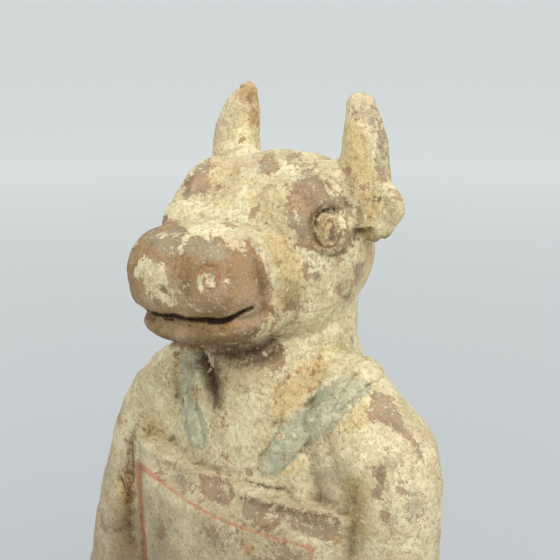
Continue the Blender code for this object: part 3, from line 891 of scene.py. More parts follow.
for count, fold in ((SKIRT_FOLDS, SKIRT_FOLD), (BACK_FOLDS, BACK_FOLD)):
    for i in range(count):
        x = (i - (count - 1) / 2) * FOLD_SPREAD
        depth = FOLD_DEPTHS[i % len(FOLD_DEPTHS)]
        groove(laid([(x * fan, y, z) for fan, y, z in fold]), depth, FOLD_HALF_WIDTH, fade=1.0)
panel_rim = []
for share in RIM_SHARES:
    x = PANEL_HALF_WIDTH * share
    panel_rim.append((x, panel_front(x, PANEL_TOP), PANEL_TOP + RIM_ABOVE_TOP))
rim_ridge = [(x, y - RIM_RIDGE_FORWARD, z - RIM_RIDGE_BELOW) for x, y, z in panel_rim]
groove(laid(panel_rim), depth=0.4, half_width=1.1)
ridge(laid(rim_ridge), rise=0.7, half_width=1.2)
skin.apply()
print("deepest cut", round(-skin.rise.min(), 2), "mm, highest ridge", round(skin.rise.max(), 2), "mm")

# %% [markdown]
# The photograph shows only half of the skin. Elsewhere the mesh can be coarser, which keeps the piece
# under two hundred thousand triangles. A Decimate modifier takes faces away, and a vertex group keeps it
# off the half that shows. Thinning all over would blunt the mouth and the eyes. Last, the underside is
# pressed flat on the bench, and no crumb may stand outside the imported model's box.

# %% Thin the hidden clay
FRAME_MARGIN = 12
GRAZING = 0.1
LIFT_OFF_SKIN = 0.5
KEEP_ROUNDS = 3
TRIANGLES_ALLOWED = 194000
UNDERSIDE = 1.0


def photo_places(points):
    """Where points fall in the photograph: pixels across and down, and the depth in parts."""
    away = points - np.array(eye_point)
    depth = away @ np.array(-back)
    across = PHOTO_SIDE / 2 + PHOTO_FOCAL * (away @ np.array(right)) / depth
    down = PHOTO_SIDE / 2 - PHOTO_FOCAL * (away @ np.array(up)) / depth
    return across, down, depth / PART


def seen_in_photo(skin):
    """True for each point of the skin that the photograph shows."""
    across, down, _ = photo_places(skin.points)
    to_eye = np.array(eye_point) - skin.points
    to_eye /= np.linalg.norm(to_eye, axis=1)[:, None]
    low, high = -FRAME_MARGIN, PHOTO_SIDE + FRAME_MARGIN
    seen = (to_eye * skin.normals).sum(axis=1) > GRAZING
    seen &= (across > low) & (across < high) & (down > low) & (down < high)
    starts = skin.points + skin.normals * LIFT_OFF_SKIN * PART
    for i in np.flatnonzero(seen):
        seen[i] = skin.bvh.ray_cast(starts[i].tolist(), to_eye[i].tolist())[0] is None
    return seen


def spread(mesh, values, rounds):
    """Each point takes the mean of itself and its neighbours, round after round."""
    ends = np.empty(2 * len(mesh.edges), dtype=np.int64)
    mesh.edges.foreach_get("vertices", ends)
    one, other = ends[::2], ends[1::2]
    count = len(mesh.vertices)
    neighbours = np.bincount(one, minlength=count) + np.bincount(other, minlength=count)
    for _ in range(rounds):
        total = np.bincount(one, values[other], count) + np.bincount(other, values[one], count)
        values = (values + total) / (1 + neighbours)
    return values


skin = Skin(body)
seen = spread(body.data, seen_in_photo(skin).astype(float), KEEP_ROUNDS) > 0
hidden_group = body.vertex_groups.new(name="hidden")
hidden_group.add(np.flatnonzero(~seen).tolist(), 1.0, "REPLACE")
triangles = sum(len(face.vertices) - 2 for face in body.data.polygons)
thinning = body.modifiers.new("Thin", "DECIMATE")
thinning.ratio = min(1, TRIANGLES_ALLOWED / triangles)
thinning.vertex_group = hidden_group.name
bpy.ops.object.modifier_apply(modifier="Thin")
body.vertex_groups.clear()
skin = Skin(body)
skin.points = np.clip(skin.points, np.array(figurine_low), np.array(figurine_high))
skin.points[skin.points[:, 2] < UNDERSIDE * PART, 2] = 0
skin.apply()
bpy.ops.object.shade_smooth()
left_over = sum(len(face.vertices) - 2 for face in body.data.polygons)
print("triangles:", triangles, "then", left_over, "of which seen points", int(seen.sum()))

# %% [markdown]
# Paint, stains and painted shade are patches with ragged edges. For each kind the skin carries one
# number at every point: how deep inside a patch the point lies, in parts, and less than nothing outside.
# The shader adds noise to that number before it cuts it off at zero, so an edge crumbles as old paint
# does. Painting an image would need a texture file, and would be blurred at this size.
# A patch of the seen side is drawn in the pixels of the photograph, and reaches only a little deeper
# than the clay under it, so it doesn't go through to the back. The other sides have balls and lines in
# parts.

# %% Patches
FIELD_REACH = 6.0
PATCH_DEPTH = 5.0
PIXELS_FELT = 30

skin = Skin(body)
across, down, depth = photo_places(skin.points)
pixel_parts = depth / PHOTO_FOCAL


def off_path(x, y, path):
    """How far places are from a path of pixels whose stops may carry a half width, and so are nearer."""
    nearest = np.full(len(x), np.inf)
    for start, end in zip(path, path[1:]):
        x1, y1, half1 = (*start, 0)[:3]
        x2, y2, half2 = (*end, 0)[:3]
        dx, dy = x2 - x1, y2 - y1
        t = np.clip(((x - x1) * dx + (y - y1) * dy) / max(dx * dx + dy * dy, 1e-9), 0, 1)
        gap = np.hypot(x - x1 - t * dx, y - y1 - t * dy) - half1 - t * (half2 - half1)
        nearest = np.minimum(nearest, gap)
    return nearest


def within_path(x, y, path):
    """True for each place inside a closed path of pixels."""
    inside = np.zeros(len(x), dtype=bool)
    for (x1, y1), (x2, y2) in zip(path, path[1:]):
        if y1 != y2:
            inside ^= ((y1 > y) != (y2 > y)) & (x < (x2 - x1) * (y - y1) / (y2 - y1) + x1)
    return inside


class Patches:
    """One kind of paint, stain or painted shade, as the depth inside its patches at every point of the
    skin.
    """

    def __init__(self):
        self.inside = np.full(len(skin.points), -FIELD_REACH)

    def near(self, pixels, margin=PIXELS_FELT):
        """The points round some pixels, and how far they are within the depth of the clay there."""
        places = [skin.spot(*pixel[:2]) for pixel in pixels]
        hits = np.array([place for place in places if place])
        depths = photo_places(hits)[2]
        reach = (depths.max() - depths.min()) / 2 + PATCH_DEPTH
        depth_inside = reach - abs(depth - (depths.max() + depths.min()) / 2)
        x, y = [pixel[0] for pixel in pixels], [pixel[1] for pixel in pixels]
        near = (across > min(x) - margin) & (across < max(x) + margin) & (down > min(y) - margin)
        near &= (down < max(y) + margin) & (depth_inside > -FIELD_REACH)
        near = np.flatnonzero(near)
        return near, depth_inside[near]

    def lay(self, near, inside):
        self.inside[near] = np.maximum(self.inside[near], inside)

    def area(self, pixels, most=FIELD_REACH):
        """A closed outline. With a low most, noise breaks the patch up into flecks."""
        near, depth_inside = self.near(pixels)
        path = list(pixels) + [pixels[0]]
        gap = off_path(across[near], down[near], path) * pixel_parts[near]
        inside = np.where(within_path(across[near], down[near], path), gap, -gap)
        self.lay(near, np.minimum(np.minimum(inside, most), depth_inside))

    def areas(self, outlines, most=FIELD_REACH, faint=(), faint_most=0.0):
        """Named outlines. Those whose names are in faint have a most of their own."""
        for name, pixels in outlines.items():
            self.area(pixels, faint_most if name in faint else most)

    def strokes(self, paths, half_width=0.0):
        """Brush strokes. Each stop may carry a half width of its own."""
        for pixels in paths:
            near, depth_inside = self.near(pixels)
            gap = off_path(across[near], down[near], pixels) - half_width
            self.lay(near, np.minimum(-gap * pixel_parts[near], depth_inside))

    def oval(self, x, y, wide, high):
        """How deep points lie inside an oval of pixels."""
        near, depth_inside = self.near([(x, y)], PIXELS_FELT + max(wide, high))
        share = np.hypot((across[near] - x) / wide, (down[near] - y) / high)
        inside = (1 - share) * min(wide, high) * pixel_parts[near]
        return near, np.minimum(inside, depth_inside)

    def dots(self, spots):
        for x, y, wide, high in spots:
            self.lay(*self.oval(x, y, wide, high))

    def spare(self, x, y, wide, high):
        """Takes an oval out of the patches."""
        near, inside = self.oval(x, y, wide, high)
        self.inside[near] = np.minimum(self.inside[near], -inside)

    def balls(self, balls):
        """Patches on the sides that the photograph doesn't show: all skin within balls, in parts."""
        for x, y, z, radius in balls:
            gap = np.linalg.norm(skin.points - np.array(at(x, y, z)), axis=1) / PART
            self.inside = np.maximum(self.inside, np.maximum(radius - gap, -FIELD_REACH))

    def line(self, stops, half_width):
        """A painted line through stops in parts, laid on the clay."""
        near, away, _ = skin.away_from(skin.line_laid(stops), FIELD_REACH)
        self.lay(near, np.maximum(half_width - away, -FIELD_REACH))

    def keep(self, name):
        """Stores the numbers on the mesh, for the shader to read by name."""
        layer = body.data.attributes.new(name, "FLOAT", "POINT")
        layer.data.foreach_set("value", self.inside.astype(np.float32))


print("patches can be felt", FIELD_REACH, "mm away")

# %% [markdown]
# The purple-brown paint lies round the eyes, on the brow, on the throat, the shoulder and the panel. It
# is what is left of a darker coat. Some of it is solid, and some has worn to flecks.

# %% Purple paint
PURPLE_AREAS = {
    "right brow": [
        (209, 159), (196, 168), (186, 181), (179, 197), (184, 201), (196, 196), (207, 193), (221, 188),
        (212, 186), (207, 178), (215, 167),
    ],
    "left brow": [(258, 160), (264, 153), (273, 155), (278, 164), (276, 173), (266, 176), (259, 172)],
    "left eye surround": [
        (300, 177), (289, 186), (286, 200), (285, 215), (287, 230), (294, 236), (297, 246), (305, 251),
        (318, 253), (330, 257), (345, 255), (354, 246), (357, 228), (355, 210), (348, 196), (338, 186),
        (325, 179), (312, 175),
    ],
    "throat": [(262, 345), (272, 344), (286, 348), (285, 364), (272, 370), (256, 368), (248, 356)],
    "side of neck": [(352, 262), (364, 262), (362, 284), (352, 287)],
    "left shoulder": [
        (372, 387), (382, 393), (393, 401), (401, 419), (412, 437), (424, 460), (419, 460), (406, 436),
        (394, 431), (380, 425), (370, 419), (371, 402),
    ],
    "border beside collar": [
        (196, 470), (214, 474), (232, 482), (238, 494), (230, 506), (212, 504), (199, 492),
    ],
    "border middle": [
        (240, 496), (254, 496), (270, 502), (284, 508), (283, 524), (272, 531), (258, 528), (243, 516),
    ],
    "border left": [
        (287, 508), (304, 510), (322, 514), (340, 520), (341, 538), (326, 544), (306, 538), (290, 530),
    ],
    "left arm": [(372, 462), (384, 460), (387, 480), (382, 499), (371, 497)],
}
PURPLE_FLECKED = {
    "temple": [(338, 186), (352, 186), (362, 205), (360, 240), (350, 250), (346, 225)],
    "below left eye": [(300, 254), (322, 256), (348, 260), (344, 276), (326, 283), (305, 280)],
    "panel border right": [(158, 462), (186, 466), (196, 480), (200, 500), (180, 494), (160, 480)],
    "panel field right": [(158, 516), (170, 520), (168, 540), (156, 536)],
    "panel field middle": [(196, 520), (218, 528), (236, 536), (232, 556), (212, 552), (198, 540)],
    "panel field left": [(240, 536), (262, 541), (302, 552), (304, 562), (244, 562)],
    "field edge": [(222, 528), (250, 536), (248, 546), (226, 540)],
    "chest foot": [(196, 462), (250, 470), (256, 478), (236, 480), (200, 472)],
    "outer horn": [(352, 106), (374, 103), (388, 128), (390, 180), (376, 186), (376, 134), (360, 122)],
    "neck": [(300, 290), (344, 282), (350, 316), (312, 330)],
    "right shoulder": [(140, 372), (172, 360), (174, 402), (158, 440), (134, 430)],
    "cheek foot": [(268, 312), (300, 300), (300, 330), (272, 340)],
    "upper arm": [(366, 430), (400, 440), (428, 470), (425, 530), (396, 532), (366, 500)],
    "upper ear": [(373, 190), (398, 191), (402, 204), (388, 206), (374, 204)],
    "horn band": [(352, 106), (374, 104), (383, 128), (366, 130), (354, 118)],
    "above the eye": [(318, 176), (338, 180), (354, 196), (350, 208), (332, 202), (320, 190)],
    "neck under ear": [(330, 268), (352, 268), (352, 300), (334, 296)],
    "brow streak": [(283, 151), (300, 155), (318, 165), (332, 178), (322, 184), (306, 174), (290, 163)],
}
PURPLE_SPARSE = ("upper arm", "right shoulder", "neck", "chest foot")
PURPLE_DOTS = [
    (254, 214, 5, 6), (264, 220, 3, 3), (286, 222, 4, 4), (290, 186, 7, 3.5),
    (317, 277, 6, 6), (335, 265, 6, 3.5), (308, 267, 4.5, 3), (183, 482, 4.5, 8), (385, 517, 5, 7),
    (378, 199, 5, 3.5), (347, 172, 2, 1.6), (354, 178, 2, 1.6), (365, 187, 2.4, 2), (257, 246, 1.6, 1.4),
    (272, 185, 1.6, 1.6), (272, 260, 1.6, 1.6), (222, 491, 14, 6), (241, 140, 2.5, 1.5), (333, 397, 3, 2),
    (310, 436, 3, 2), (280, 435, 2.5, 2), (304, 450, 3, 2), (285, 458, 3, 2.2), (249, 472, 2.4, 2),
    (205, 540, 6, 3), (163, 528, 4, 3), (283, 544, 7, 3), (296, 555, 5, 4), (232, 534, 2.5, 2),
]
PURPLE_STROKES = [
    [(293, 154), (305, 164), (312, 174), (319, 186)],
    [(226, 222), (232, 225)], [(237, 221), (241, 226)], [(245, 225), (249, 225)],
    [(285, 230), (292, 240), (296, 252)],
]
PURPLE_BALLS = [(-19, -8, 265, 8), (-22, 0, 262, 6), (-24, 6, 268, 5)]
PURPLE_STROKE_HALF = 1.5
EYE_SPOT = (*LEFT_EYE[0], *LEFT_EYE[1])
PUPIL_SPOT = (334.5, 234, 6.5, 15)
FLECKED_MOST, SPARSE_MOST = 0.05, -0.7

purple = Patches()
purple.areas(PURPLE_AREAS)
purple.areas(PURPLE_FLECKED, FLECKED_MOST, PURPLE_SPARSE, SPARSE_MOST)
purple.strokes(PURPLE_STROKES, PURPLE_STROKE_HALF)
purple.dots(PURPLE_DOTS)
purple.balls(PURPLE_BALLS)
purple.spare(*EYE_SPOT)
purple.dots([PUPIL_SPOT])
purple.keep("purple")
print("purple covers", round(100 * (purple.inside > 0).mean()), "percent of the points")

# %% [markdown]
# The muzzle and the jaw keep most of their brown coat. Its edge is ragged across the bridge of the nose,
# and a bare patch shows the slip at the tip. Orange-brown clay shows through in places, here and on the
# horn, the collar and the arms.

# %% Brown muzzle and bare clay
MUZZLE_AREA = [
    (124, 262), (126, 240), (138, 230), (150, 227), (165, 223), (178, 220), (184, 226), (189, 232),
    (203, 235), (211, 231), (223, 237), (232, 246), (243, 251), (244, 235), (253, 234), (256, 250),
    (263, 258), (269, 272), (272, 283), (273, 310), (268, 321), (262, 330), (250, 345), (210, 352),
    (175, 350), (146, 338), (134, 318), (124, 290),
]
MUZZLE_BALLS = [(-11, -29, 252, 13), (-14, -22, 254, 9), (-8, -27, 241, 10), (2, -31, 238, 8)]
RUST_AREAS = {
    "horn tip": [(241, 82), (252, 80), (263, 92), (262, 106), (250, 106), (240, 104), (235, 99)],
    "muzzle middle": [(168, 254), (184, 252), (190, 262), (186, 280), (178, 284), (170, 276)],
    "beside eye": [(300, 186), (318, 184), (328, 192), (324, 206), (310, 224), (300, 216), (292, 196)],
    "behind the eye": [(346, 210), (353, 222), (352, 242), (345, 252), (341, 250), (345, 228)],
    "chest": [(203, 444), (216, 452), (236, 450), (240, 462), (222, 470), (202, 462)],
    "under the lapel": [(210, 408), (222, 402), (230, 420), (222, 444), (211, 438)],
    "lapel foot": [(302, 440), (330, 420), (350, 420), (346, 446), (318, 460), (302, 458)],
    "collar flecks": [(276, 386), (300, 368), (330, 352), (322, 376), (300, 402), (280, 416)],
}
RUST_DOTS = [
    (197, 350, 5, 6), (196, 395, 4, 10), (345, 244, 5, 4), (262, 158, 6, 4), (254, 118, 8, 15),
    (250, 550, 8, 9), (338, 540, 7, 10),
]
# The first stroke, along the lower lip, is ochre paint and partly a painted highlight on the lip.
RUST_STROKES = [[(156, 321), (185, 327), (215, 329), (248, 322)], [(128, 440), (127, 470), (127, 500)]]
RUST_BALLS = [(-42, -8, 204, 6), (18, 24, 214, 6), (-34, -30, 118, 7), (34, 18, 140, 7), (-12, 30, 30, 6)]
RUST_STROKE_HALF = 2.4
RUST_FAINT = ("chest", "under the lapel", "lapel foot", "beside eye", "behind the eye", "collar flecks")
RUST_MOST, RUST_FAINT_MOST = 2.5, -0.1

muzzle = Patches()
muzzle.area(MUZZLE_AREA)
muzzle.balls(MUZZLE_BALLS)
muzzle.keep("muzzle")
rust = Patches()
rust.areas(RUST_AREAS, RUST_MOST, RUST_FAINT, RUST_FAINT_MOST)
rust.strokes(RUST_STROKES, RUST_STROKE_HALF)
rust.dots(RUST_DOTS)
rust.balls(RUST_BALLS)
rust.keep("rust")
print("muzzle covers", round(100 * (muzzle.inside > 0).mean()), "percent of the points")

# %% [markdown]
# Burial left ochre and olive stains that soaked into the slip, with soft edges, and grey dirt. In the
# left armpit, on the right sleeve and under the lip they are partly painted shade. The collar's bands
# were painted a pale blue-grey, and a red line runs round the field of the panel. Bare cream slip shows
# again in flecks and strips. Creases, recesses and the skin under the jaw get soft brown painted shade
# mixed with dirt. Cracks hold near-black dirt, and the mouth's slit and the eyelid's crease are painted
# near-black as shadow.

# %% Ochre, grey, blue, red, pale and dark
OCHRE_AREAS = {
    "forehead": [(212, 160), (240, 158), (239, 185), (232, 202), (214, 200)],
    "temple": [(250, 180), (272, 176), (290, 184), (286, 228), (262, 228), (249, 214)],
    "cheek": [
        (264, 226), (284, 230), (296, 246), (304, 258), (304, 300), (285, 313), (268, 310), (276, 285),
        (268, 262),
    ],
    "left horn": [(344, 128), (354, 116), (364, 126), (371, 150), (373, 184), (350, 188), (343, 168)],
    "before the ear": [(356, 182), (372, 178), (382, 205), (376, 238), (362, 240)],
    "ear lobe": [(364, 240), (376, 240), (375, 260), (365, 262)],
    "throat": [(216, 350), (252, 350), (266, 378), (242, 388), (222, 382)],
    "shoulder": [(343, 390), (370, 392), (368, 424), (343, 428)],
    "right shoulder": [(142, 414), (162, 412), (162, 437), (143, 436)],
    "beside right lapel": [(171, 350), (181, 350), (182, 407), (172, 407)],
    # The ochre in the armpit is partly painted shade.
    "armpit": [(344, 478), (366, 478), (368, 532), (346, 534)],
    "right sleeve": [(118, 478), (134, 478), (134, 512), (118, 512)],
    "left eye": [(314, 220), (324, 212), (332, 212), (332, 250), (322, 251), (315, 244)],
    "right horn": [(238, 104), (250, 104), (250, 120), (238, 122)],
    "chest": [(262, 440), (300, 452), (300, 474), (262, 474)],
    "collar": [
        (272, 385), (290, 379), (300, 365), (325, 350), (341, 349), (325, 378), (301, 407), (285, 420),
        (272, 422),
    ],
}
OCHRE_FAINT = ("forehead", "temple", "shoulder", "right horn", "throat", "chest")
OCHRE_MOST, OCHRE_FAINT_MOST = 2.5, 0.0
OCHRE_BALLS = [(-20, -2, 250, 9), (-16, 10, 262, 8), (14, 20, 246, 9), (-14, 14, 226, 8)]
# Olive stain; under the lip, on the right sleeve and in the armpit it is partly painted shade.
OLIVE_AREAS = {
    "muzzle band": [(172, 258), (188, 256), (196, 268), (196, 296), (186, 306), (178, 290)],
    "below the nostril": [(180, 300), (228, 296), (242, 304), (222, 318), (186, 314)],
    "under the lip": [(166, 333), (200, 336), (250, 328), (256, 340), (232, 350), (186, 348), (164, 338)],
    "lip middle": [(188, 324), (236, 328), (236, 338), (190, 334)],
    "right sleeve": [(116, 496), (134, 490), (138, 562), (112, 562)],
    "armpit": [(346, 474), (364, 478), (372, 530), (366, 562), (344, 562), (340, 520)],
    "cheek": [(276, 280), (300, 276), (304, 304), (280, 316)],
    "neck": [(338, 284), (346, 283), (348, 300), (340, 302)],
    "horn foot": [(342, 168), (352, 174), (356, 192), (366, 200), (368, 236), (358, 236), (352, 196)],
    "left eye": [(315, 222), (326, 214), (327, 248), (318, 246)],
}
GREY_AREAS = {
    "muzzle top": [
        (148, 232), (180, 225), (190, 236), (212, 240), (233, 250), (240, 263), (214, 263), (180, 257),
        (150, 254),
    ],
    "muzzle side": [(139, 285), (156, 292), (160, 311), (143, 308)],
    "left horn band": [(352, 107), (376, 103), (381, 128), (364, 127), (354, 116)],
    "left horn side": [(374, 130), (386, 128), (390, 180), (375, 184)],
    "behind the brow": [(296, 164), (306, 162), (318, 184), (316, 202), (304, 198)],
    "collar end": [(313, 470), (344, 468), (346, 481), (313, 482)],
    "left arm": [(378, 453), (402, 455), (400, 471), (380, 470)],
    "outer arm": [(408, 488), (422, 488), (422, 516), (409, 516)],
}
GREY_MOST = 1.2
GREY_DOTS = [(238, 302, 6, 5), (274, 275, 5, 6), (334, 234, 6.5, 15), (240, 140, 3, 2), (172, 478, 8, 7)]
BLUE_AREAS = {
    "right lapel": [
        (183, 345), (196, 345), (195, 365), (194, 382), (199, 410), (207, 432), (206, 446), (199, 450),
        (190, 445), (186, 430), (181, 412), (180, 385), (181, 365),
    ],
    "left lapel": [
        (346, 369), (374, 388), (352, 406), (336, 426), (312, 444), (291, 461), (268, 478), (257, 473),
        (265, 452), (279, 427), (299, 409), (321, 389),
    ],
}
BLUE_BAND = FAR_LAPEL + [(13, 16.5, 226), (20, 7, 227)]
BLUE_BAND_HALF, RED_LINE_HALF, NOSTRIL_RING_HALF, FAR_MOUTH_HALF = 2.2, 0.6, 1.5, 0.4
RED_LINES = [
    [(27.5, -19.8, 192), (28, -19.8, 170), (28, -19.8, 140), (28, -19.8, 113)],
    [(-28, -19.5, 186), (-28, -19.8, 170), (-28, -19.8, 140), (-28, -19.8, 113)],
]
RED_STROKES = {
    "left side": [(139, 466, 4), (139, 480, 2.4), (141, 505, 2.4), (143, 530, 2.6), (146, 562, 2.6)],
    "top": [
        (140, 466, 3.4), (155, 477, 2.6), (170, 488, 2.2), (187, 501, 2.0), (202, 510, 1.6),
        (216, 517, 2.0), (230, 523, 2.4), (245, 529, 2.4), (260, 533, 2.2), (275, 538, 2.2),
        (290, 542, 2.4), (303, 546, 2.6), (312, 549, 2.6),
    ],
    "right corner": [(309, 545, 3.0), (311, 562, 2.6)],
}
NOSTRIL_RING = [
    (200, 273), (204, 269), (210, 266.5), (215, 267.5), (219, 272), (219.5, 278), (217, 284),
]
PALE_AREAS = {
    "tip of the muzzle": [
        (141, 262), (150, 257), (160, 260), (166, 268), (170, 279), (175, 293), (178, 306), (170, 309),
        (162, 302), (152, 297), (143, 290), (138, 274),
    ],
    "ear": [(384, 212), (399, 208), (397, 226), (386, 235), (377, 232)],
    "beside the muzzle": [(257, 249), (266, 253), (277, 268), (282, 286), (275, 287), (268, 270)],
    "collar": [(325, 354), (357, 356), (350, 376), (326, 384)],
    "nostril": [(204, 272), (212, 271), (213, 283), (205, 284)],
    "brow gap": [(189, 224), (206, 223), (207, 236), (190, 234)],
}
PALE_FLECKED = {
    "lapel top": [(330, 366), (352, 364), (376, 386), (352, 408), (330, 404)],
    "left lapel": [(330, 396), (352, 404), (312, 446), (284, 462), (270, 452), (296, 414)],
    "muzzle top": [(136, 236), (176, 224), (214, 238), (243, 256), (240, 272), (214, 264), (150, 262)],
    "muzzle edge": [(258, 262), (266, 262), (272, 284), (270, 308), (262, 312), (262, 288)],
    "eye surround": [(322, 176), (352, 184), (364, 206), (360, 250), (344, 262), (352, 226), (340, 196)],
    "left brow": [(286, 200), (298, 206), (300, 240), (290, 240)],
    "throat": [(196, 342), (268, 340), (264, 356), (206, 362)],
    "border": [(204, 472), (340, 516), (342, 540), (236, 506)],
    "collar recess": [(202, 352), (228, 354), (232, 408), (206, 408)],
    "armpit": [(342, 480), (370, 480), (370, 560), (342, 560)],
}
PALE_FLECKED_MOST = -0.7
PALE_DOTS = [
    (163, 236, 3.4, 2), (178, 236, 3, 1.8), (186, 237, 2.4, 2), (172, 244, 2.5, 1.6), (190, 305, 2, 1.5),
    (200, 310, 2.4, 1.5), (192, 298, 2, 1.6), (200, 286, 1.8, 5), (185, 287, 1.8, 2.2), (228, 271, 2, 4),
    (225, 281, 1.2, 2), (217, 233, 4, 1.8), (341, 218, 1.0, 3), (362, 98, 9, 6),
]
PALE_STROKES = [
    [(203, 346), (210, 357), (217, 370), (224, 384)],
    [(322, 182), (334, 196)], [(332, 181), (348, 200)], [(344, 190), (354, 204)],
    [(304, 254), (316, 266)], [(320, 258), (334, 272)],
]
PALE_STROKE_HALF = 1.1
# Near-black marks: painted shadow in the mouth's slit and the eyelid's crease, and dirt in the cracks.
DARK_STROKES = {
    "mouth": [
        (152.5, 313, 1.3), (160, 315.5, 1.5), (173, 315.5, 1.5), (178, 317.5, 1.7), (190, 320, 2.0),
        (205, 321, 2.2), (215, 322.5, 2.8), (225, 321.5, 2.6), (231, 319.5, 1.9), (238, 315, 1.6),
        (244, 312, 1.5), (253, 308, 1.4),
    ],
    "upper eyelid": [(314, 225, 0.2), (317, 216, 1.0), (323, 210.5, 1.7), (331, 209, 1.6), (337, 211, 0.4)],
    "nostril crack": [(160, 289, 0.6), (162, 290, 1.8), (166, 293, 0.6)],
    "panel crack": [
        (250, 482, 0.4), (260, 484, 0.5), (266, 487, 0.6), (275, 488.5, 0.6), (285, 489, 0.4),
    ],
}
# Soft brown marks: painted shade with some dirt in creases and recesses, the armpits, under the jaw and
# under the panel's border, and the darker grey of the pupil.
SHADE_AND_DIRT_STROKES = {
    "upper eyelid": [
        (311, 234, 1), (313, 222, 3), (317, 214, 3.5), (322, 209, 3.5), (330, 206, 3), (340, 208, 1.5),
    ],
    "under the eye": [(322, 251, 1.0), (335, 252.5, 1.5), (345, 250, 1.0)],
    "pupil": [(333, 224, 3), (333, 238, 3.4)],
    "nostril": [(205, 278, 0.6), (209.5, 282, 1.4)],
    "nostril rim": [(200, 268, 0.7), (208, 263, 1.4), (216, 265, 0.7)],
    "nostril crack": [(157, 287, 1), (162, 290, 3.4), (171, 296, 1)],
    "collar recess": [(201, 348, 5), (207, 358, 11), (212, 371, 13), (215, 386, 11), (217, 404, 7)],
    "beside the lapel": [(178, 352, 2.0), (176, 370, 2.6), (177, 395, 2.0)],
    "under the jaw": [(200, 352, 5), (216, 354, 8), (236, 355, 10), (254, 350, 10), (274, 340, 7)],
    "throat": [(224, 366, 2), (240, 366, 4), (262, 358, 5), (280, 352, 4)],
    "beside the jaw": [(262, 330, 3), (272, 318, 3)],
    "jaw foot": [(160, 338, 2), (178, 344, 2.4), (205, 346, 3), (236, 342, 3), (256, 332, 2.4)],
    "elbow": [(118, 474, 0.6), (121, 485, 2), (127, 500, 1)],
    "right armpit": [(133, 440, 1), (129, 465, 3), (128, 500, 5), (130, 540, 4)],
    "left armpit": [(356, 488, 0.3), (355, 510, 1), (353, 530, 2.4), (352, 552, 3)],
    "right sleeve": [(137, 425, 0.8), (131, 440, 2.0), (131, 450, 1.4)],
    "collar notch": [(270, 424, 1.0), (280, 423, 2.6), (288, 420, 1.0)],
    "chest crack": [(240, 384.5, 0.6), (245, 390, 0.9)],
    "panel crack": [(238, 480, 0.4), (262, 485, 1.2), (285, 489, 1.0), (298, 502, 0.4)],
    "under the border": [(232, 516, 0.7), (245, 524, 1.6), (262, 529.5, 1.6), (287, 534, 1.0)],
    "neck": [(351, 338, 0.3), (352, 349, 0.3)],
    "muzzle corner": [(256, 262, 1.0), (262, 284, 4.0), (264, 304, 3.0)],
    "ear": [(368, 238, 1.5), (376, 241, 3), (386, 238, 2)],
    "ear hollow": [(372, 196, 1), (380, 199, 3), (388, 200, 1)],
    "jaw spot": [(172, 330, 1.6), (173, 330, 1.6)],
    "jaw edge": [(150, 318, 0.4), (185, 325, 0.6), (225, 328, 0.8)],
    "shoulder": [(150, 432, 0.5), (153, 424, 0.5)],
    "panel top": [(238, 497, 2), (262, 503, 3), (300, 513, 3), (338, 520, 2)],
    "brow": [(190, 178, 1.4), (184, 190, 2.0)],
}

# The last kind is painted shade mixed with dirt.
kinds = {name: Patches() for name in ("ochre", "olive", "grey", "blue", "red", "pale", "dark", "shade_and_dirt")}
ochre, olive, grey, blue, red, pale, dark, shade_and_dirt = kinds.values()
ochre.areas(OCHRE_AREAS, OCHRE_MOST, OCHRE_FAINT, OCHRE_FAINT_MOST)
ochre.dots([EYE_SPOT])
ochre.balls(OCHRE_BALLS)
olive.areas(OLIVE_AREAS, OCHRE_MOST)
grey.areas(GREY_AREAS, GREY_MOST)
grey.dots(GREY_DOTS)
blue.areas(BLUE_AREAS)
blue.line(BLUE_BAND, BLUE_BAND_HALF)
for line in RED_LINES:
    red.line(line, RED_LINE_HALF)
red.strokes(RED_STROKES.values())
red.strokes([NOSTRIL_RING], NOSTRIL_RING_HALF)
pale.areas(PALE_AREAS)
pale.areas(PALE_FLECKED, PALE_FLECKED_MOST)
pale.spare(*EYE_SPOT)
pale.strokes(PALE_STROKES, PALE_STROKE_HALF)
pale.dots(PALE_DOTS)
dark.strokes(DARK_STROKES.values())
dark.line(tipped(FAR_MOUTH), FAR_MOUTH_HALF)
shade_and_dirt.strokes(SHADE_AND_DIRT_STROKES.values())
for name, patches in kinds.items():
    patches.keep(name)
print("stored:", ", ".join(kinds))

# %% [markdown]
# Two more numbers help the shader. Dirt and painted shade darken the skin where it is hollow, so each
# point is compared with the mean of its neighbourhood. And the sides that the photograph doesn't show
# get patches of their own from noise, so the shader must know where they are.

# %% Hollows and hidden sides
HOLLOW_ROUNDS = 10
HIDDEN_ROUNDS = 12

# Dirt and painted shade gather where this number is high.
evened = np.stack([spread(body.data, skin.points[:, axis], HOLLOW_ROUNDS) for axis in range(3)], axis=1)
hollow = Patches()
hollow.inside = ((evened - skin.points) * skin.normals).sum(axis=1) / PART
hollow.keep("hollow")
hidden = Patches()
hidden.inside = spread(body.data, 1 - seen_in_photo(skin).astype(float), HIDDEN_ROUNDS)
hidden.keep("hidden")
print("deepest hollow", round(hollow.inside.max(), 2), "mm")

# %% [markdown]
# Shader arithmetic reads best as arithmetic. A Value wraps one socket and knows the signs, so 1 - mask
# adds a Math node. A Finish makes a material and adds any other node in one call: its kind, its
# settings, and the values or links of its sockets.

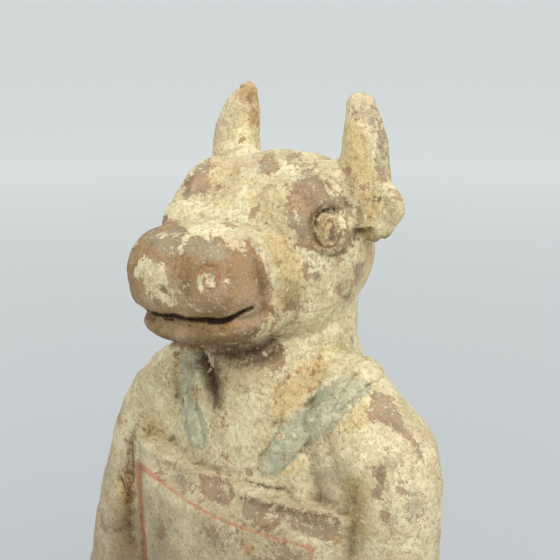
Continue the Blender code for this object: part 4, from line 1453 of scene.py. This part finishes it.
# %% Tools for finishes
class Value:
    """A number that changes from place to place."""

    def __init__(self, finish, socket):
        self.finish = finish
        self.socket = socket

    def math(self, operation, first, second):
        return self.finish.node("ShaderNodeMath", {"operation": operation}, {0: first, 1: second})

    def __add__(self, other):
        return self.math("ADD", self, other)

    __radd__ = __add__

    def __sub__(self, other):
        return self.math("SUBTRACT", self, other)

    def __rsub__(self, other):
        return self.math("SUBTRACT", other, self)

    def __mul__(self, other):
        return self.math("MULTIPLY", self, other)

    __rmul__ = __mul__

    def most(self, other):
        return self.math("MAXIMUM", self, other)

    def between(self, low, high):
        """0 below low, 1 above high, and smooth between them."""
        settings = {"interpolation_type": "SMOOTHSTEP"}
        return self.finish.node("ShaderNodeMapRange", settings, {0: self, 1: low, 2: high})


class Finish:
    """A material, and the nodes that it is mixed from."""

    def __init__(self, name):
        self.material = bpy.data.materials.new(name)
        self.material.use_nodes = True
        self.tree = self.material.node_tree
        self.shader = self.tree.nodes["Principled BSDF"]
        self.place = self.node("ShaderNodeTexCoord", output="Object")

    def node(self, kind, settings=None, values=None, output=0):
        """Adds a node: its settings first, then its sockets, and gives one output back."""
        made = self.tree.nodes.new(kind)
        for name, setting in (settings or {}).items():
            setattr(made, name, setting)
        for socket, value in (values or {}).items():
            self.put(made.inputs[socket], value)
        return Value(self, made.outputs[output])

    def put(self, socket, value):
        if isinstance(value, Value):
            self.tree.links.new(value.socket, socket)
        else:
            socket.default_value = value

    def noise(self, scale, detail=3.0, roughness=0.55, shift=0.0, stretch=(1, 1, 1), turn=(0, 0, 0)):
        """Cloudy noise from 0 to 1. A shift gives another cloud, and a stretch makes streaks."""
        values = {"Vector": self.place, "Location": (shift,) * 3, "Rotation": turn, "Scale": stretch}
        place = self.node("ShaderNodeMapping", {"vector_type": "TEXTURE"}, values)
        return self.node(
            "ShaderNodeTexNoise",
            values={"Vector": place, "Scale": scale, "Detail": detail, "Roughness": roughness},
        )

    def field(self, name):
        """One of the numbers that the mesh carries."""
        return self.node("ShaderNodeAttribute", {"attribute_name": name}, output="Fac")

    def mix(self, below, above, cover):
        """A colour over another colour, as far as it covers."""
        return self.node("ShaderNodeMix", {"data_type": "RGBA"}, {0: cover, 6: below, 7: above}, output=2)


def tint(r, g, b):
    """A colour as the eye reads it, 0 to 255, turned into the linear values that a shader needs."""
    return (*[((c / 255 + 0.055) / 1.055) ** 2.4 for c in (r, g, b)], 1)


print("a middle grey is", round(tint(188, 188, 188)[0], 2), "in linear light")

# %% [markdown]
# The floor has the simplest finish, so it comes first: a blue-grey that pales with the distance from the
# figure, which is shade painted near its feet. One flat grey would show a hard horizon behind it.

# %% Studio floor
# Painted shade: the floor is darker near the figure and paler far off.
FLOOR_NEAR, FLOOR_FAR = (0.47, 0.50, 0.51, 1), (0.93, 0.95, 0.93, 1)
FLOOR_NEAR_REACH, FLOOR_FAR_REACH = 0.1, 1.8

floor_finish = Finish("studio_floor")
distance = floor_finish.node(
    "ShaderNodeVectorMath", {"operation": "LENGTH"}, {0: floor_finish.place}, output="Value"
)
reach = {0: distance, 1: FLOOR_NEAR_REACH, 2: FLOOR_FAR_REACH}
reached = floor_finish.node("ShaderNodeMapRange", values=reach)
floor_shader = floor_finish.shader
floor_finish.put(floor_shader.inputs["Base Color"], floor_finish.mix(FLOOR_NEAR, FLOOR_FAR, reached))
floor_shader.inputs["Roughness"].default_value = 0.9
floor_shader.inputs["Specular IOR Level"].default_value = 0.1
floor.data.materials.append(floor_finish.material)
print("the floor pales from", FLOOR_NEAR_REACH, "to", FLOOR_FAR_REACH, "m")

# %% [markdown]
# The coats are laid in the order of their history: cream slip, darkened towards the bottom as painted
# shade with some dirt, ochre stain, blue collar, grey dirt, the purple and brown paint, bare clay, flecks
# of slip where the paint has gone, the red line, olive stain that is partly painted shade, a crust with
# crumbs and specks on it, and last dirt mixed with painted shade in hollows, creases and under the jaw,
# and near-black dirt in the cracks and painted shadow in the mouth and the eyelid's crease. Every edge
# gets the same ragged noise, mixed from four sizes of cloud. Single flat colours with soft edges would
# look like a stain on paper.

# %% Painted terracotta
SLIP, SLIP_SHADE, SLIP_PINK = tint(242, 230, 188), tint(214, 198, 154), tint(220, 196, 164)
# Painted shade with some dirt: the slip turns to this colour towards the bottom of the figure.
SLIP_LOW_SHADE = tint(166, 150, 126)
OCHRE, OCHRE_DEEP, OLIVE = tint(216, 188, 130), tint(176, 142, 84), tint(112, 86, 46)
PURPLE, PURPLE_WARM, PURPLE_GREY = tint(148, 120, 100), tint(174, 138, 106), tint(158, 140, 118)
# The purple paint low on the figure, darkened as painted shade with some dirt.
PURPLE_LOW_SHADE = tint(116, 90, 76)
MUZZLE_BROWN, MUZZLE_OLIVE, MUZZLE_PINK = tint(166, 132, 92), tint(128, 104, 66), tint(178, 146, 118)
GREY, BLUE, BLUE_PALE = tint(170, 160, 136), tint(174, 178, 152), tint(210, 205, 174)
RUST, RUST_DARK = tint(196, 158, 112), tint(158, 118, 78)
# After the red: near-black for painted shadow and dirt, then a deep and a soft brown for painted shade
# mixed with dirt.
RED, SHADOW_AND_DIRT_BLACK, DEEP_SHADE_AND_MUD, DIRT_AND_SHADE = tint(190, 100, 68), tint(34, 18, 12), tint(56, 33, 15), tint(90, 60, 30)
CRUST = tint(150, 124, 84)
# Heights in metres between which the painted shade at the bottom fades in.
LOW_SHADE_FULL_BELOW, LOW_SHADE_GONE_ABOVE = 0.170, 0.235
SHOWN_LOSS = 12
SHINE = 0.25
BUMP_STRENGTH, BUMP_DISTANCE = 0.85, 0.0006

skin_finish = Finish("painted_terracotta")
noise, field, mix = skin_finish.noise, skin_finish.field, skin_finish.mix
cloud = noise(90, 3)
blotch = noise(230, 4, 0.6)
crumb = noise(700, 5, 0.65, shift=0.3)
fleck = noise(1150, 4, 0.7, shift=0.7)
grain = noise(2600, 2, 0.6)
ragged = (blotch - 0.5) * 5 + (crumb - 0.5) * 3.5
dust = (fleck - 0.5) * 1.5 + (grain - 0.5) * 0.9
hidden_side = field("hidden")


def worn(depth_inside, low, high, wear=1.0):
    """Cover of a worn coat: whole inside, and breaking up into flecks from high down to low."""
    return ((depth_inside + ragged).between(low, high) + dust * (1.5 * wear)).between(0.3, 0.75)


def hidden_patches(scale, shift, level, steepness):
    """Patches out of noise, for the sides that the photograph doesn't show."""
    return (noise(scale, 4, 0.6, shift=shift) - level) * steepness - (1 - hidden_side) * SHOWN_LOSS


purple_cover = worn(field("purple").most(hidden_patches(48, 1.3, 0.60, 40)), -0.9, 1.0)
muzzle_cover = worn(field("muzzle"), -0.8, 0.9, 0.9)
ochre_cover = (field("ochre").most(hidden_patches(40, 2.1, 0.56, 20)) + ragged * 1.3).between(-2.4, 2.2)
ochre_cover = (ochre_cover + dust * 0.7).between(0.1, 1.0)
olive_cover = (field("olive") + ragged * 0.8 + dust * 1.5).between(-1.5, 2.0)
grey_cover = worn(field("grey"), -1.0, 1.6) * 0.6
blue_cover = worn(field("blue"), -0.8, 0.5, 0.8)
rust_cover = worn(field("rust"), -0.9, 1.4, 0.9)
pale_cover = worn(field("pale"), -0.5, 0.5, 0.8)
red_cover = (field("red") + ragged * 0.2 + dust * 0.8).between(-0.25, 0.4)
# Painted shade with some dirt, in creases, recesses and under the jaw.
shade_dirt_depth = field("shade_and_dirt") + ragged * 0.8 + dust * 1.8
shade_dirt_cover = shade_dirt_depth.between(-1.2, 1.6)
# Near-black: painted shadow in the mouth and the eyelid's crease, and dirt in the cracks.
dark_cover = (field("dark") + (crumb - 0.5) * 0.9 + dust * 0.15).between(-0.3, 0.3)

slip_tone = mix(SLIP_SHADE, SLIP, (blotch + cloud * 0.5 + dust * 0.3).between(0.62, 0.86))
slip_tone = mix(slip_tone, SLIP_PINK, noise(60, 2, shift=4.0).between(0.5, 0.7) * 0.5)
# Painted shade with some dirt: the slip and the purple paint darken towards the bottom of the figure, less
# so on the hidden sides.
height_up = skin_finish.node("ShaderNodeSeparateXYZ", values={0: skin_finish.place}, output="Z")
low_shade_and_dirt = 1 - (height_up + (cloud - 0.5) * 0.03).between(LOW_SHADE_FULL_BELOW, LOW_SHADE_GONE_ABOVE)
slip_tone = mix(slip_tone, SLIP_LOW_SHADE, low_shade_and_dirt * (0.95 - hidden_side * 0.45))
purple_tone = mix(PURPLE, PURPLE_WARM, blotch.between(0.46, 0.6))
purple_tone = mix(purple_tone, PURPLE_GREY, noise(300, 3, shift=5.0).between(0.5, 0.62))
purple_tone = mix(purple_tone, PURPLE_LOW_SHADE, low_shade_and_dirt * 0.6)
muzzle_tone = mix(MUZZLE_BROWN, MUZZLE_OLIVE, noise(260, 4, shift=6.0).between(0.5, 0.64) * 0.8)
muzzle_tone = mix(muzzle_tone, MUZZLE_PINK, cloud.between(0.5, 0.62))
muzzle_tone = mix(muzzle_tone, RUST_DARK, noise(120, 4, 0.65, shift=13.0).between(0.52, 0.66) * 0.5)
muzzle_tone = mix(muzzle_tone, GREY, grey_cover)
crusty = noise(150, 3, shift=11.0).between(0.42, 0.62)
crust = noise(1100, 5, 0.75, shift=7.0).between(0.53, 0.68) * (0.25 + crusty * 0.75)
crumbs = 1 - noise(950, 5, 0.75, shift=9.0).between(0.37, 0.49)
specks = noise(1300, 2, shift=8.0).between(0.67, 0.72) * 0.6
# Dirt and painted shade in the hollows.
hollow_cover = (field("hollow") + (crumb - 0.5) * 0.4 + dust * 0.12).between(0.06, 0.5)
off_slip = 1 - pale_cover * 0.75
coats = [
    # colour, where it lies, and the share that it hides of what is below
    (mix(OCHRE, OCHRE_DEEP, crumb.between(0.5, 0.66)), ochre_cover, 0.8),
    (mix(BLUE_PALE, BLUE, blotch.between(0.38, 0.55)), blue_cover, 0.9),
    (GREY, grey_cover, 1),
    (purple_tone, purple_cover, 0.86),
    (muzzle_tone, muzzle_cover, 0.95),
    (mix(RUST, RUST_DARK, crumb.between(0.48, 0.62)), rust_cover, 0.85),
    (slip_tone, pale_cover, 0.9),
    (RED, red_cover, 0.65),
    (OLIVE, olive_cover, 0.5),
    (CRUST, crust, 0.75),
    (slip_tone, crumbs * (0.95 - crusty * 0.5) * (1 - muzzle_cover * 0.5), 1),
    (PURPLE, specks, 1),
    # dirt and painted shade in hollows and creases, deeper brown where the marks are strongest
    (DIRT_AND_SHADE, hollow_cover.most(shade_dirt_cover) * off_slip, 0.76),
    (DEEP_SHADE_AND_MUD, shade_dirt_depth.between(0.8, 2.8) * off_slip, 0.8),
    # near-black painted shadow in the mouth and the eyelid's crease, and dirt in the cracks
    (SHADOW_AND_DIRT_BLACK, dark_cover, 0.92),
]
colour = slip_tone
for coat, cover, hides in coats:
    colour = mix(colour, coat, cover * hides)

shader = skin_finish.shader
skin_finish.put(shader.inputs["Base Color"], colour)
roughness = 0.95 - muzzle_cover * 0.2 - crumb * 0.08
skin_finish.put(shader.inputs["Roughness"], roughness)
shader.inputs["Specular IOR Level"].default_value = SHINE
height = crumb + fleck * 0.6 + grain * 0.3 - purple_cover * 0.2 - muzzle_cover * 0.15 - specks * 0.3
height = height - crust * 0.25 + crumbs * 0.25
bump = skin_finish.node(
    "ShaderNodeBump",
    values={"Strength": BUMP_STRENGTH, "Distance": BUMP_DISTANCE, "Height": height},
    output="Normal",
)
skin_finish.put(shader.inputs["Normal"], bump)
body.data.materials.clear()
body.data.materials.append(skin_finish.material)
print("finish of", len(skin_finish.tree.nodes), "nodes")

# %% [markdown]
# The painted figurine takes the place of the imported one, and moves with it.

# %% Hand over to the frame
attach(body, "root")
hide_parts("figurine")
